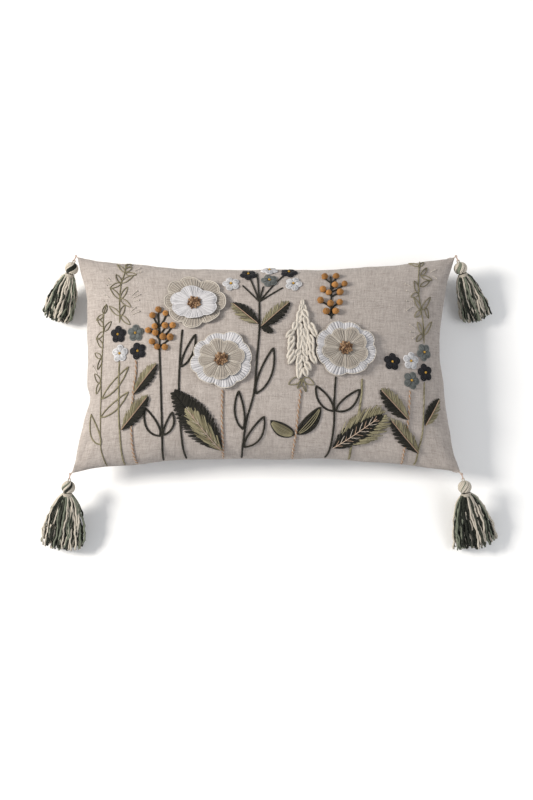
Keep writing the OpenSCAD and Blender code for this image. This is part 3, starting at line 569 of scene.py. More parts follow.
class Cushion:
    """The filled cover: a grid over the cut sheet for its front and its back, in millimetres."""

    COLUMNS, ROWS = 113, 67

    def __init__(self):
        s = np.linspace(-1, 1, self.COLUMNS) * SHEET[0]
        t = np.linspace(-1, 1, self.ROWS) * SHEET[1]
        self.s, self.t = np.meshgrid(s, t, indexing="ij")
        self.front = front_shape(self.s, self.t)
        u, v = turned(self.s / SHEET[0], *TURN_ALONG), turned(self.t / SHEET[1], *TURN_ACROSS)
        self.back = back_shape(u, v)
        self.moves = np.zeros_like(self.front), np.zeros_like(self.back)

    def mesh(self, inset=0):
        """One closed mesh: the front grid, and the back grid's inner points, which share the seam's ring."""
        n, m = self.COLUMNS - 2 * inset, self.ROWS - 2 * inset
        front = np.arange(n * m).reshape(n, m)
        back = front.copy()
        back[1:-1, 1:-1] = n * m + np.arange((n - 2) * (m - 2)).reshape(n - 2, m - 2)
        return np.concatenate([grid_quads(front), grid_quads(back)[:, ::-1]])

    def swell(self, settings):
        """Cloth simulation: the two flat panels are the cloth's rest size, it starts at the frame's shape,
        and the filling presses it out. Each point's move is capped, and fades out at the corners, at the
        floor and beside the zip."""
        inner = np.s_[1:-1, 1:-1]
        start = np.concatenate([self.front.reshape(-1, 3), self.back[inner].reshape(-1, 3)]) * MM
        flat = np.stack([self.s, self.t, np.full_like(self.s, SEAM_Z)], -1)
        low, high = flat.copy(), flat.copy()
        edge = np.minimum(SHEET[0] - np.abs(self.s), SHEET[1] - np.abs(self.t))
        high[..., 2] += np.minimum(edge, 6) * 0.05
        low[..., 2] -= np.minimum(edge, 6) * 0.05
        rest = np.concatenate([high.reshape(-1, 3), low[inner].reshape(-1, 3)]) * MM
        mesh = bpy.data.meshes.new("cushion_cloth")
        mesh.from_pydata(start.tolist(), [], self.mesh().tolist())
        cloth_piece = bpy.data.objects.new("cushion_cloth", mesh)
        bpy.context.scene.collection.objects.link(cloth_piece)
        cloth_piece.shape_key_add(name="Basis")
        cut = cloth_piece.shape_key_add(name="cut")
        cut.data.foreach_set("co", rest.astype(np.float32).ravel())
        cut.value = 0.0
        corner = np.hypot(SHEET[0] - np.abs(self.s), SHEET[1] - np.abs(self.t)) < 9
        pins = cloth_piece.vertex_groups.new(name="pins")
        pins.add([int(k) for k in np.flatnonzero(corner.ravel())], 1.0, "REPLACE")
        cloth = cloth_piece.modifiers.new("cloth", "CLOTH")
        made = cloth.settings
        made.quality, made.mass, made.air_damping = 6, 0.25, 4.0
        made.tension_stiffness = made.compression_stiffness = 18.0
        made.shear_stiffness, made.bending_stiffness = 6.0, 0.35
        made.tension_damping = made.compression_damping = made.shear_damping = 10.0
        made.use_pressure, made.uniform_pressure_force = True, settings.pressure
        made.effector_weights.gravity = 0.0
        made.vertex_group_mass = "pins"
        made.rest_shape_key = cut
        cloth.collision_settings.use_collision = False
        scene = bpy.context.scene
        last = 22
        cloth.point_cache.frame_start, cloth.point_cache.frame_end = 1, last
        for step in range(1, last + 1):
            scene.frame_set(step)
        done = cloth_piece.evaluated_get(bpy.context.evaluated_depsgraph_get()).data
        now = np.zeros(len(start) * 3, np.float32)
        done.vertices.foreach_get("co", now)
        moved = (now.reshape(-1, 3) - start) / MM
        scene.frame_set(1)
        bpy.data.objects.remove(cloth_piece)
        bpy.data.meshes.remove(mesh)
        size = np.linalg.norm(moved, axis=1, keepdims=True)
        cap = settings.swell / MM
        moved *= np.tanh(size / cap) * cap / np.maximum(size, 1e-9)
        count = self.COLUMNS * self.ROWS
        front = moved[:count].reshape(self.front.shape)
        back = front.copy()
        back[inner] = moved[count:].reshape(back[inner].shape)
        near = np.hypot(SHEET[0] - np.abs(self.s), SHEET[1] - np.abs(self.t))
        free = np.clip((near - 6) / 40, 0, 1)[..., None]
        off_floor = np.clip((self.back[..., 2] - 4) / 26, 0, 1)[..., None]
        beside_zip = np.clip((np.abs(self.back[..., 1] - ZIP_Y) - 30) / 30, 0, 1)[..., None]
        seam = (edge <= 1e-6)[..., None]
        back = np.where(seam, front, back * off_floor * np.where(off_floor > 0, beside_zip, 0))
        self.moves = front * free, back * free

    def gather(self, depth):
        """Puckers beside the seam: sines along it, of lengths with no common measure, that die away inwards,
        and a few long soft folds that run in from the ends."""
        s, t = self.s, self.t
        edge = np.minimum(SHEET[0] - np.abs(s), SHEET[1] - np.abs(t))
        along = np.where(SHEET[0] - np.abs(s) < SHEET[1] - np.abs(t), t * 1.3 + 40 * np.sign(s), s)
        wave = np.sin(along / 4.7 + 1.3) + 0.8 * np.sin(along / 7.9 + 0.4) + 0.7 * np.sin(along / 13.1 + 2.2)
        fold = np.exp(-(((s + 262) - 0.35 * (t + 95)) / 9) ** 2) * np.exp(-(((t + 118) / 40) ** 2))
        fold += 0.8 * np.exp(-(((s - 268) + 0.3 * (t + 80)) / 10) ** 2) * np.exp(-(((t + 110) / 45) ** 2))
        fold += 0.7 * np.exp(-(((t + 146) / 16) ** 2)) * (np.sin(s / 19.0 + 0.7) + 0.6 * np.sin(s / 11.3))
        shape = depth / MM * wave * np.exp(-edge / 16) * np.clip(edge / 4, 0.25, 1) - 1.6 * fold
        self.moves[0][..., 2] += shape * np.clip(edge / 5, 0, 1)
        waver = 0.9 * depth / MM * (np.sin(along / 17.0) + np.sin(along / 29.0 + 1.7)) * np.exp(-edge / 20)
        corner = np.clip((np.hypot(SHEET[0] - np.abs(s), SHEET[1] - np.abs(t)) - 8) / 40, 0, 1)
        end = SHEET[0] - np.abs(s) < SHEET[1] - np.abs(t)
        dent = 8.5 * np.exp(-(((t + 52) / 14) ** 2))
        waist = 7.5 * np.exp(-(((t - 35) / 75) ** 2)) + 4 * np.exp(-(((t - 2) / 22) ** 2))
        drawn = np.where(s < 0, dent, -waist) * np.exp(-(SHEET[0] - np.abs(s)) / 22)
        for move in self.moves:
            move[..., 0] += drawn * corner + np.where(end, np.sign(s) * waver * corner, 0)
            move[..., 1] += np.where(end, 0, np.sign(t) * waver * corner)

    def inside(self, depth, inset):
        """The front and back of what fills the cover, on grids in metres. Each point is drawn from the cover
        towards the sheet halfway between the two: its distance h becomes h squared over h plus the depth,
        and the depth is more behind the zip. Both end in one knife edge, a few columns in from the seam."""
        front, back = self.face(), self.back + self.moves[1]
        middle = (front + back) / 2
        half = np.linalg.norm(front - back, axis=-1, keepdims=True) / 2
        behind_zip = 9 * np.exp(-(((back[..., 1:2] - ZIP_Y) / 24) ** 2))
        cut = np.s_[inset:-inset, inset:-inset]
        ring = np.ones(middle[cut].shape[:2], bool)
        ring[1:-1, 1:-1] = False
        made = []
        for shape, room in ((front, depth), (back, depth + behind_zip)):
            drawn = (middle + (shape - middle) * half / (half + room))[cut]
            drawn[ring] = middle[cut][ring]
            made.append(drawn * MM)
        return made

    def face(self):
        """The front with its moves."""
        return self.front + self.moves[0]

    def at(self, p, height=0.0):
        """Points in metres over places p of the sheet in millimetres, at a height along the normal, and the
        normals. The normal is the cross product of the surface's two slopes."""
        p = np.asarray(p, float)
        i, j = (p[..., 0] / SHEET[0] + 1) / 2, (p[..., 1] / SHEET[1] + 1) / 2
        grid, e = self.face(), 0.002
        slope_s = on_grid(grid, i + e, j) - on_grid(grid, i - e, j)
        slope_t = on_grid(grid, i, j + e) - on_grid(grid, i, j - e)
        normal = unit(np.cross(slope_s, slope_t))
        place = on_grid(grid, i, j) + normal * np.asarray(height, float)[..., None]
        return place * MM, normal


CUSHION = Cushion()


def panel(name, points, flip=False, thick=LINEN_T):
    """A cloth panel from a grid of points in metres, with the sheet's own measure as its map."""
    grid, sheet = points
    n, m = grid.shape[:2]
    quads = grid_quads(np.arange(n * m).reshape(n, m))
    if flip:
        quads = quads[:, ::-1]
    piece = mesh_piece(name, grid.reshape(-1, 3), [quads], [sheet.reshape(-1, 2)[quads.ravel()] * MM])
    wall = piece.modifiers.new("wall", "SOLIDIFY")
    wall.thickness, wall.offset = thick * MM, -1.0
    return piece


# ---------------------------------------------------------------- stitches


def stitch_row(bundle, points, width, tone=(0.0, 1.0), seed=1, low=0.5, length=6.5, gap=2.1):
    """Stem stitch: short threads in a row that overlap, each crossing the line from one side to the other,
    so that the row looks like a rope."""
    rng = np.random.default_rng(seed)
    line, far = smooth_line(points, 1.2)
    right = beside(line)
    centres = np.arange(0, far[-1], gap)
    q = np.linspace(-0.5, 0.5, 5)
    place = np.clip(centres[:, None] + q * length, 0, far[-1])
    shift = q * width * 0.62 + rng.normal(0, 0.04, (len(centres), 1))
    p = np.stack([np.interp(place, far, line[:, k]) for k in (0, 1)], -1)
    r = np.stack([np.interp(place, far, right[:, k]) for k in (0, 1)], -1)
    spine, up = CUSHION.at(p + r * shift[..., None], low + width * 0.16 * np.cos(q * math.pi * 0.9))
    radius = width * 0.30 * (0.45 + 0.55 * np.cos(q * math.pi * 0.92))
    radius = radius * rng.uniform(0.9, 1.12, (len(centres), 1))
    bundle.add(spine, up, radius * MM, rng.uniform(*tone, len(centres)), 6, 0.85)


def twisted_cord(bundle, points, width, tones, pitch=5.0, low=0.9):
    """Two-ply cord: two threads that wind round one line, half a turn apart."""
    line, far = smooth_line(points, 0.8)
    right = beside(line)
    turn = far / pitch * TURN + np.array([0, math.pi])[:, None]
    p = line + right * (np.cos(turn) * width * 0.27)[..., None]
    spine, up = CUSHION.at(p, low + width * 0.2 * (1 + np.sin(turn)) / 2 + 0.2)
    bundle.add(spine, up, width * 0.29 * MM, np.array(tones), 6)


def thread_line(bundle, points, radius, tone, low=0.6, sides=5, gap=1.6):
    """One plain thread laid along a line, thin at its ends."""
    line, far = smooth_line(points, gap)
    spine, up = CUSHION.at(line[None], np.full((1, len(line)), low))
    ends = np.clip(np.minimum(far, far[-1] - far) / 1.2, 0.35, 1)
    bundle.add(spine, up, ends[None] * radius * MM, np.array([tone]), sides)


def loops(bundle, bases, tips, widths, radius, tone, low=0.6, points=15, lean=0.0, high=0.5, sides=5):
    """Chain-stitch loops: each runs from its base out to its tip and back. Its half width is a sine of the
    share of its length raised to a power, so that it is pointed at its base and round at its tip."""
    a, b = np.asarray(bases, float), np.asarray(tips, float)
    n = len(a)
    q = np.linspace(0, 1, points)
    out = 1 - np.abs(2 * q - 1) ** 1.15
    half = np.sin(math.pi * np.clip(out, 0, 1) ** 0.72 * 0.97) ** 0.8 * np.sign(q - 0.5 + 1e-9)
    half[points // 2] = 0
    along = b - a
    right = unit(np.stack([along[:, 1], -along[:, 0]], -1))
    widths = np.broadcast_to(np.asarray(widths, float), (n,))
    p = a[:, None] + along[:, None] * out[:, None]
    p = p + right[:, None] * (half * widths[:, None] / 2)[..., None]
    p = p + right[:, None] * (lean * np.sin(math.pi * out))[:, None]
    spine, up = CUSHION.at(p, low + high * np.sin(math.pi * np.clip(out, 0, 1)))
    bundle.add(spine, up, np.broadcast_to(np.asarray(radius, float), (n,))[:, None] * MM, tone, sides)


def leaf_line(base, tip, bend, t):
    """Middle of a leaf: the straight line from base to tip, bowed sideways by a parabola."""
    base, tip = np.asarray(base, float), np.asarray(tip, float)
    along = tip - base
    right = unit(np.array([along[1], -along[0]]))
    return base + along * t[..., None] + right * (bend * 4 * t * (1 - t))[..., None], right


def leaf_half(width, t):
    """Half width of a leaf at a share t of its length, a rounded sine that is fullest near the base."""
    return width * np.clip(np.sin(math.pi * np.clip(t, 0, 1) ** 0.85), 0, 1) ** 0.8


def leaf_edge(bundle, base, tip, width, bend, thread, tone, seed):
    """A leaf drawn as two rows of stem stitch from its base to its tip."""
    t = np.linspace(0.0, 1.0, 9)
    for side in (-1, 1):
        middle, right = leaf_line(base, tip, bend, t)
        row = middle + right * (side * leaf_half(width, t))[:, None]
        stitch_row(bundle, row, thread, tone, seed + side + 1, low=0.7 + 0.15 * side)


def leaf_fill(bundle, leaf, side, tone, seed, share=(0.0, 1.0), low=2.0, ahead=0.13, stray=0.02, step=1.3,
              thick=0.9, teeth=0.34, span=(0.0, 0.93)):
    """Satin stitches of a leaf's side: each runs from one share of the half width to another and a share of
    the leaf's length towards its tip, arched over the cloth. The edge is cut in rounded teeth, the absolute
    value of a sine along the leaf."""
    base, tip, width, bend = leaf[:4]
    rng = np.random.default_rng(seed)
    size = math.hypot(tip[0] - base[0], tip[1] - base[1])
    count = max(3, int(size * (span[1] - span[0]) / step))
    t = np.linspace(*span, count) + rng.normal(0, 0.15 * step / size, count)
    q = np.linspace(0, 1, 6)
    reach = share[0] + (share[1] - share[0]) * q
    reach = reach + q * rng.uniform(-1, 1.4, (count, 1)) * stray
    lead = ahead * np.minimum(1, 1.6 * (1.04 - t))
    uneven = 1 + 3 * stray * rng.uniform(-1, 1, (count, 1))
    place = np.clip(t[:, None] + lead[:, None] * uneven * reach, 0, 1.02)
    middle, right = leaf_line(base, tip, bend, place)
    tooth = 1 + teeth * (np.abs(np.sin((t * size / 7.4 + 0.3 * side) * math.pi)) ** 0.7 - 0.6)
    half = leaf_half(width, np.clip(t + lead * 0.6, 0.02, 0.99)) * tooth
    p = middle + right * (side * half[:, None] * reach)[..., None]
    rise = low + 1.1 * np.sin(math.pi * (0.12 + 0.76 * q)) + rng.uniform(0, 0.35, (count, 1))
    spine, up = CUSHION.at(p, rise)
    radius = thick * np.sin(math.pi * (0.16 + 0.68 * q)) ** 0.6 * rng.uniform(0.85, 1.15, (count, 1))
    bundle.add(spine, up, radius * MM, rng.uniform(*tone, count), 6, 0.8)


def leaf_lengthwise(bundle, leaf, shares, radius, tone, seed, low=1.4):
    """Threads from a leaf's base to its tip, each keeping to one share of its half width."""
    base, tip, width, bend = leaf[:4]
    rng = np.random.default_rng(seed)
    t = np.linspace(0.05, 0.94, 9)
    middle, right = leaf_line(base, tip, bend, t)
    for share in shares:
        row = middle + right * (share * leaf_half(width, t))[:, None]
        thread_line(bundle, row, radius, rng.uniform(*tone), low + rng.uniform(0, 0.3))


def leaf_ribs(bundle, leaf, span, pairs, reach, low, radius=0.5):
    """A rib along a leaf's middle, and pairs of side ribs that leave it forwards."""
    base, tip, width, bend = leaf[:4]
    middle, right = leaf_line(base, tip, bend, np.linspace(*span, 7))
    thread_line(bundle, middle, radius * 1.3, 0.5, low + 0.5)
    for k, t in enumerate(np.linspace(span[0] + 0.06, span[1] - 0.08, pairs)):
        for side in (-1, 1):
            place = np.array([t, t + 0.06, t + 0.10 + 0.03 * (k % 2)])
            middle, right = leaf_line(base, tip, bend, place)
            out = leaf_half(width, t + 0.08) * reach * np.array([0, 0.55, 1.0])
            thread_line(bundle, middle + right * (side * out)[:, None], radius, 0.3 + 0.5 * (k % 2), low)


def knots(bundle, places, radius, tone, low, seed=3, turns=1.9, rise=1.0, thick=0.40):
    """French knots: each thread coils inwards and upwards round its place, and ends in the middle."""
    rng = np.random.default_rng(seed)
    p = np.asarray(places, float)
    n = len(p)
    radius = np.broadcast_to(np.asarray(radius, float), (n,))[:, None]
    q = np.linspace(0, 1, int(7 * turns))
    turn = q * turns * TURN + rng.uniform(0, TURN, (n, 1))
    out = radius * ((1 - thick) * (1 - q**1.6) + 0.02)
    at = p[:, None] + np.stack([np.cos(turn), np.sin(turn)], -1) * out[..., None]
    low = np.broadcast_to(np.asarray(low, float), (n,))[:, None]
    spine, up = CUSHION.at(at, low + radius * (0.30 + rise * 0.95 * q))
    run = unit(np.gradient(spine, axis=1))
    side = unit(np.cross(run, np.broadcast_to(up[:, :1], spine.shape)) + 1e-9)
    bundle.add(spine, np.cross(side, run), radius * thick * MM, rng.uniform(*tone, n), 6)


# ---------------------------------------------------------------- places of the embroidery, mm on the sheet

DARK_STEMS = [
    [(-164, 64), (-163, 44), (-162, 30), (-162, 8)],
    [(-162, 10), (-159, -40), (-157, -70), (-152, -119), (-147, -168)],
    [(-127, 38), (-130, 0), (-131, -50), (-127, -96), (-121, -135), (-114, -168)],
    [(-10, 83), (-10, 39), (-13, 0), (-18, -58), (-28, -96), (-33, -132), (-35, -169)],
    [(96, 130), (98, 100), (99, 56)],
    [(105, -34), (102, -70), (100, -103), (93, -140), (85, -168)],
]
RAYS = [[(-10, 83), end] for end in [(-35, 112), (-25, 131), (-13, 140), (-4, 110), (26, 133), (25, 108)]]
BUD_TWIGS = [
    [(-162, 40), (-168, 52), (-171, 59)], [(-162, 44), (-155, 54), (-152, 62)],
    [(-162, 24), (-170, 34), (-178, 38)],
    [(-162, 30), (-156, 38), (-153, 43)], [(-161, 24), (-150, 34), (-142, 44)],
    [(-161, 14), (-152, 20), (-146, 25)],
    [(-161, 8), (-168, 14), (-172, 20)], [(-163, 50), (-164, 58), (-163, 68)],
    [(98, 116), (91, 123), (88, 127)],
    [(98, 116), (102, 122), (104, 127)], [(99, 100), (108, 106), (115, 112)],
    [(98, 94), (91, 100), (86, 103)],
    [(99, 92), (105, 96), (110, 98)], [(98, 74), (90, 80), (84, 84)], [(99, 72), (104, 77), (109, 81)],
    [(98, 104), (101, 108), (103, 111)], [(98, 60), (95, 63), (92, 66)], [(99, 60), (102, 63), (104, 66)],
]
OLIVE_STEMS = [
    ([(-225, -6), (-225, -40), (-222, -80), (-214, -122), (-203, -168)], 2.9),
    ([(244, -34), (241, -66), (234, -104), (222, -136), (213, -168)], 2.7),
    ([(145, -36), (143, -62), (134, -103), (124, -134), (119, -168)], 3.8),
]
CORD_STEMS = [
    [(-198, -6), (-198, -26), (-201, -50), (-200, -100), (-193, -138), (-185, -168)],
    [(-65, -54), (-65, -90), (-63, -126), (-61, -168)],
    [(52, -54), (48, -85), (44, -117), (40, -142), (38, -168)],
    [(219, -48), (216, -72), (210, -104), (200, -140), (195, -168)],
]
DARK_OUTLINES = [
    ((-155, -118), (-181, -76), 8, -3), ((-150, -117), (-140, -84), 6, 3), ((-128, -18), (-107, 31), 6, 2),
    ((-15, -60), (11, 9), 9, 3), ((-34, -112), (-41, -56), 7, -2), ((-31, -142), (-3, -93), 9, 3),
    ((100, -84), (75, -48), 8, -2), ((104, -84), (141, -51), 8, 3), ((41, -120), (7, -100), 9, -3),
    ((46, -119), (81, -79), 9, 3),
]
OLIVE_OUTLINES = [
    ((-254, -56), (-210, -14), 6, 3), ((-252, -82), (-209, -50), 6, 3), ((-245, -122), (-273, -75), 7, -3),
]
TWO_TONE = [
    ((-12, 46), (-52, 81), 11, 0, 1), ((-7, 42), (37, 83), 11, 0, 1), ((-200, -54), (-164, -11), 10, 0, 1),
    ((-215, -104), (-176, -57), 12, 0, 1), ((212, -89), (171, -48), 13, 0, -1),
    ((222, -138), (184, -90), 13, 0, -1),
    ((239, -95), (271, -53), 9, 0, -1),
]
TUFT = ((-8, 42), (11, 33), 5, 0)
LARGE_LEAVES = [((-63, -146), (-143, -49), 20, 0), ((96, -140), (178, -83), 20, 0)]
POPPIES = {
    # middle of the petals, middle of the heart, then half sizes of both as shares of the flower's radius
    "left": ((-107, 83), (-107.5, 78.5), (0.97, 0.87), (0.75, 0.53)),
    "centre": ((-66, -9), (-67, -8.5), (0.97, 0.87), (0.72, 0.63)),
    "right": ((119.5, 9), (119.5, 9), (0.96, 0.86), (0.72, 0.65)),
}
DARK_PLACES = [(-227, 34), (-195, 8), (-26, 136), (34, 142), (192, -8), (246, -20)]
GREY_PLACES = [(-199, 35), (5, 122), (245, 9), (222, -33)]
WHITE_PLACES = [(-224, 6), (-52, 115), (5, 150), (41, 115), (222, -5)]
BUDS_LEFT = [
    (-163, 70), (-152, 64), (-172, 61), (-169, 44), (-179, 38), (-168, 34), (-153, 45), (-141, 45),
    (-156, 28), (-145, 27), (-173, 21), (-165, 13), (-153, 12),
]
BUDS_RIGHT = [
    (87, 129), (104, 129), (117, 114), (103, 112), (85, 104), (94, 98), (111, 99), (82, 85), (97, 80),
    (111, 82), (91, 67), (105, 67),
]
VINES = {
    "vine_left_outer": (
        [(-247, 80), (-253, 61), (-254, 30), (-256, -10), (-256, -50), (-252, -86), (-245, -124),
         (-235, -150), (-229, -168)],
        [(-253, 66, -246, 79), (-253, 64, -267, 57), (-253, 47, -266, 60), (-252, 40, -239, 54),
         (-253, 39, -268, 29), (-254, 16, -267, 32), (-257, 2, -271, 10), (-256, 1, -264, -14),
         (-258, -33, -270, -19), (-258, -33, -267, -48)],
    ),
    "vine_left_inner": (
        [(-205, 162), (-211, 134), (-219, 112), (-224, 84), (-225, 52)],
        [(-223, 88, -238, 106), (-222, 88, -209, 108), (-222, 88, -206, 75), (-224, 62, -242, 77),
         (-224, 62, -216, 78), (-223, 62, -208, 48), (-219, 114, -225, 130), (-219, 114, -198, 129),
         (-219, 114, -238, 105), (-211, 134, -221, 156), (-210, 136, -199, 149), (-210, 132, -193, 131),
         (-208, 147, -199, 163)],
    ),
    "vine_right": (
        [(228, 168), (229, 138), (233, 100), (240, 70), (245, 46), (246, 22)],
        [(227, 147, 211, 165), (229, 146, 234, 162), (234, 126, 241, 143), (234, 126, 254, 118),
         (235, 108, 250, 117), (233, 96, 224, 118), (233, 97, 221, 91), (239, 71, 226, 90),
         (241, 71, 255, 91), (239, 70, 229, 60), (247, 75, 254, 59), (243, 36, 234, 53),
         (243, 35, 232, 24), (246, 34, 261, 55)],
    ),
}
PALE_TWIGS = [
    [(-234, 117), (-242, 119)], [(-235, 112), (-243, 110)], [(-236, 116), (-239, 122)],
    [(-241, 90), (-248, 94)],
    [(-243, 84), (-251, 85)], [(-196, 139), (-187, 146)], [(-196, 133), (-186, 137)],
    [(-204, 93), (-195, 101)],
    [(-203, 89), (-191, 95)], [(-202, 84), (-193, 86)], [(-207, 68), (-199, 74)], [(-205, 63), (-193, 68)],
    [(-264, -20), (-275, -8)], [(221, 107), (210, 113)], [(221, 99), (213, 101)], [(224, 83), (214, 85)],
    [(224, 76), (215, 70)], [(231, 42), (221, 48)], [(231, 37), (222, 38)], [(233, 33), (226, 28)],
    [(249, 133), (256, 137)], [(252, 126), (262, 121)],
]


def settings(group):
    """The scene's values of a group of settings."""
    return getattr(bpy.context.scene, group)


# ---------------------------------------------------------------- pieces


class PILLOW_OT_cover(Operator):
    """Swell the cushion and make its linen panels"""

    bl_idname = "pillow.cover"
    bl_label = "Cover"

    def execute(self, context):
        c = settings("pillow_cover")
        CUSHION.swell(c)
        CUSHION.gather(c.pucker)
        front_linen = linen("linen_front", c.linen, c.slub, c.shade, c.thread)
        back_linen = linen("linen_back", c.linen, c.slub, c.shade, c.thread, 0.8)
        i, j = np.meshgrid(np.linspace(0, 1, 241), np.linspace(0, 1, 141), indexing="ij")
        sheet = np.stack([(2 * i - 1) * SHEET[0], (2 * j - 1) * SHEET[1]], -1)
        points = on_grid(CUSHION.face(), i, j) * MM
        piece = panel("cover_front", (points, sheet))
        settle(piece, front_linen, ["front_panel"])
        for name, side, rows in (("upper", 1, 64), ("lower", -1, 48)):
            piece = panel("cover_back_" + name, self.back(side, rows), side > 0)
            settle(piece, back_linen, [f"back_{name}_panel"])
        return {"FINISHED"}

    def back(self, side, rows):
        """A back panel from the zip's slot to the seam. Rows beside the zip keep their distance from it, and
        the rest are spread by the sheet's own measure."""
        u = turned(np.linspace(-1, 1, 181), *TURN_ALONG)[:, None]
        _, tall = plan(u, 1.0)
        taper = np.clip((SLOT_END + SLOT_TAPER - np.abs(plan(u, -0.4)[0])) / SLOT_TAPER, 0, 1)
        first = turned_back((ZIP_Y + side * SLOT_HALF * taper) / tall)
        t = first + (side - first) * np.linspace(0, 1, rows)
        v = turned(t, *TURN_ACROSS)
        u = np.broadcast_to(u, v.shape)
        shape = back_shape(u, v)
        i = np.broadcast_to(np.linspace(0, 1, len(u))[:, None], v.shape)
        shape = shape + on_grid(CUSHION.moves[1], i, (t + 1) / 2)
        shape[..., 2] = np.maximum(shape[..., 2], 0.05)
        sheet = np.stack([(2 * i - 1) * SHEET[0], t * SHEET[1]], -1)
        return shape * MM, sheet


def turned_back(v):
    """The sheet's place whose turned place is v, by a table read backwards."""
    t = np.linspace(-1, 1, 801)
    return np.interp(v, turned(t, *TURN_ACROSS), t)


class PILLOW_OT_stems(Operator):
    """Stitch the dark and olive stems, the cords and the vines"""

    bl_idname = "pillow.stems"
    bl_label = "Stems and vines"

    def execute(self, context):
        c = settings("pillow_thread")
        width = c.stem_width / MM
        dark = thread_of("wool_dark", [c.dark, c.dark_light])
        olive = thread_of("wool_olive", [c.olive, c.olive_light])
        b = Bundle()
        for k, line in enumerate(DARK_STEMS):
            stitch_row(b, line, width, seed=10 + k)
        for k, line in enumerate(RAYS):
            stitch_row(b, [line[0], np.mean(line, 0), line[1]], width * 0.85, seed=30 + k)
        for k, line in enumerate(BUD_TWIGS):
            stitch_row(b, line, width * 0.95, seed=50 + k)
        b.piece("stems_dark", dark, "dark_stems", slot="thread_dark")
        b = Bundle()
        for k, (line, wide) in enumerate(OLIVE_STEMS):
            stitch_row(b, line, wide, seed=80 + k)
        b.piece("stems_olive", olive, "olive_stems", slot="thread_olive")
        b = Bundle()
        for line in CORD_STEMS:
            twisted_cord(b, line, 3.1, (0.1, 0.9), 7.5)
        cord = thread_of("cord_two_ply", [shaded(1.25, c.tan), shaded(0.72, c.cream)], 0.002)
        b.piece("stems_cord", cord, "cord_stems", slot="thread_cord")
        for k, (name, (line, leaves)) in enumerate(VINES.items()):
            b = Bundle()
            stitch_row(b, line, 2.1, (0.0, 0.6), seed=90 + k, length=5.5)
            ends = np.array(leaves, float)
            rng = np.random.default_rng(120 + k)
            wide = rng.uniform(5.6, 7.4, len(ends))
            loops(b, ends[:, :2], ends[:, 2:], wide, 0.72, rng.uniform(0, 0.7, len(ends)))
            b.piece(name + "_stitches", olive, name, slot="thread_olive")
        return {"FINISHED"}


class PILLOW_OT_leaves(Operator):
    """Stitch the outlined leaves and the filled two-tone leaves"""

    bl_idname = "pillow.leaves"
    bl_label = "Leaves"

    def execute(self, context):
        c = settings("pillow_thread")
        width = c.stem_width / MM
        dark = thread_of("wool_dark", [c.dark, c.dark_light])
        olive = thread_of("wool_olive", [c.olive, c.olive_light])
        rib = thread_of("cotton_rib", [shaded(1.25, c.tan), c.cream])
        b = Bundle()
        for k, (base, tip, wide, bend) in enumerate(DARK_OUTLINES):
            leaf_edge(b, base, tip, wide, bend, width, (0, 1), 200 + 4 * k)
        b.piece("leaf_edges_dark", dark, "outline_leaves_dark", slot="thread_dark")
        b = Bundle()
        for k, (base, tip, wide, bend) in enumerate(OLIVE_OUTLINES):
            leaf_edge(b, base, tip, wide, bend, 2.4, (0, 0.8), 260 + 4 * k)
        b.piece("leaf_edges_olive", olive, "outline_leaves_olive", slot="thread_olive")
        shade, light, veins = Bundle(), Bundle(), Bundle()
        for k, leaf in enumerate(TWO_TONE):
            side = leaf[4]
            leaf_fill(shade, leaf, side, (0, 0.5), 300 + k)
            leaf_fill(
                light, leaf, -side, (0, 1), 320 + k, ahead=0.27, stray=0.09, step=1.75, thick=0.8, teeth=0.1
            )
            middle, _ = leaf_line(leaf[0], leaf[1], leaf[3], np.linspace(0.0, 0.93, 7))
            thread_line(veins, middle, 0.62, 0.3, low=3.9)
        for side in (-1, 1):
            leaf_fill(shade, TUFT, side, (0, 0.4), 330 + side, ahead=0.3)
        bordered, feathered = LARGE_LEAVES
        tip, _ = leaf_line(bordered[0], bordered[1], 0, np.array([0.70]))
        heart = (bordered[0], tuple(tip[0]), bordered[2] * 0.56, 0)
        for side in (-1, 1):
            leaf_fill(shade, bordered, side, (0, 0.5), 340 + side, thick=1.0)
            leaf_fill(
                light, heart, side, (0, 1), 344 + side, low=3.0, ahead=0.34, stray=0.08, step=2.3,
                thick=1.0, teeth=0.3,
            )
            leaf_fill(
                shade, feathered, side, (0, 0.4), 350 + side, (0, 0.72), ahead=0.2, stray=0.06, thick=0.95
            )
            leaf_fill(
                light, feathered, side, (0, 1), 354 + side, (0.52, 1.04), low=2.3, ahead=0.42, stray=0.09,
                step=1.5, thick=0.75, teeth=0.12,
            )
        leaf_ribs(veins, heart, (0.0, 0.95), 8, 0.55, 4.4)
        leaf_ribs(veins, feathered, (0.0, 0.84), 9, 0.42, 3.6)
        plain, striped = DARK_OUTLINES[8:]
        leaf_lengthwise(light, plain, np.linspace(-0.75, 0.75, 7), 0.95, (0.1, 0.9), 360)
        leaf_lengthwise(shade, striped, (-0.8, -0.5, -0.1, 0.2, 0.55, 0.8), 0.95, (0, 0.4), 361)
        leaf_lengthwise(light, striped, (-0.3, 0.05, 0.38), 0.6, (0.4, 1.0), 362, low=2.1)
        shade.piece("leaf_stitches_dark", dark, "leaf_halves_dark", slot="thread_dark")
        light.piece("leaf_stitches_olive", olive, "leaf_halves_olive", slot="thread_olive")
        veins.piece("leaf_vein_stitches", rib, "leaf_veins", slot="thread_cream")
        return {"FINISHED"}


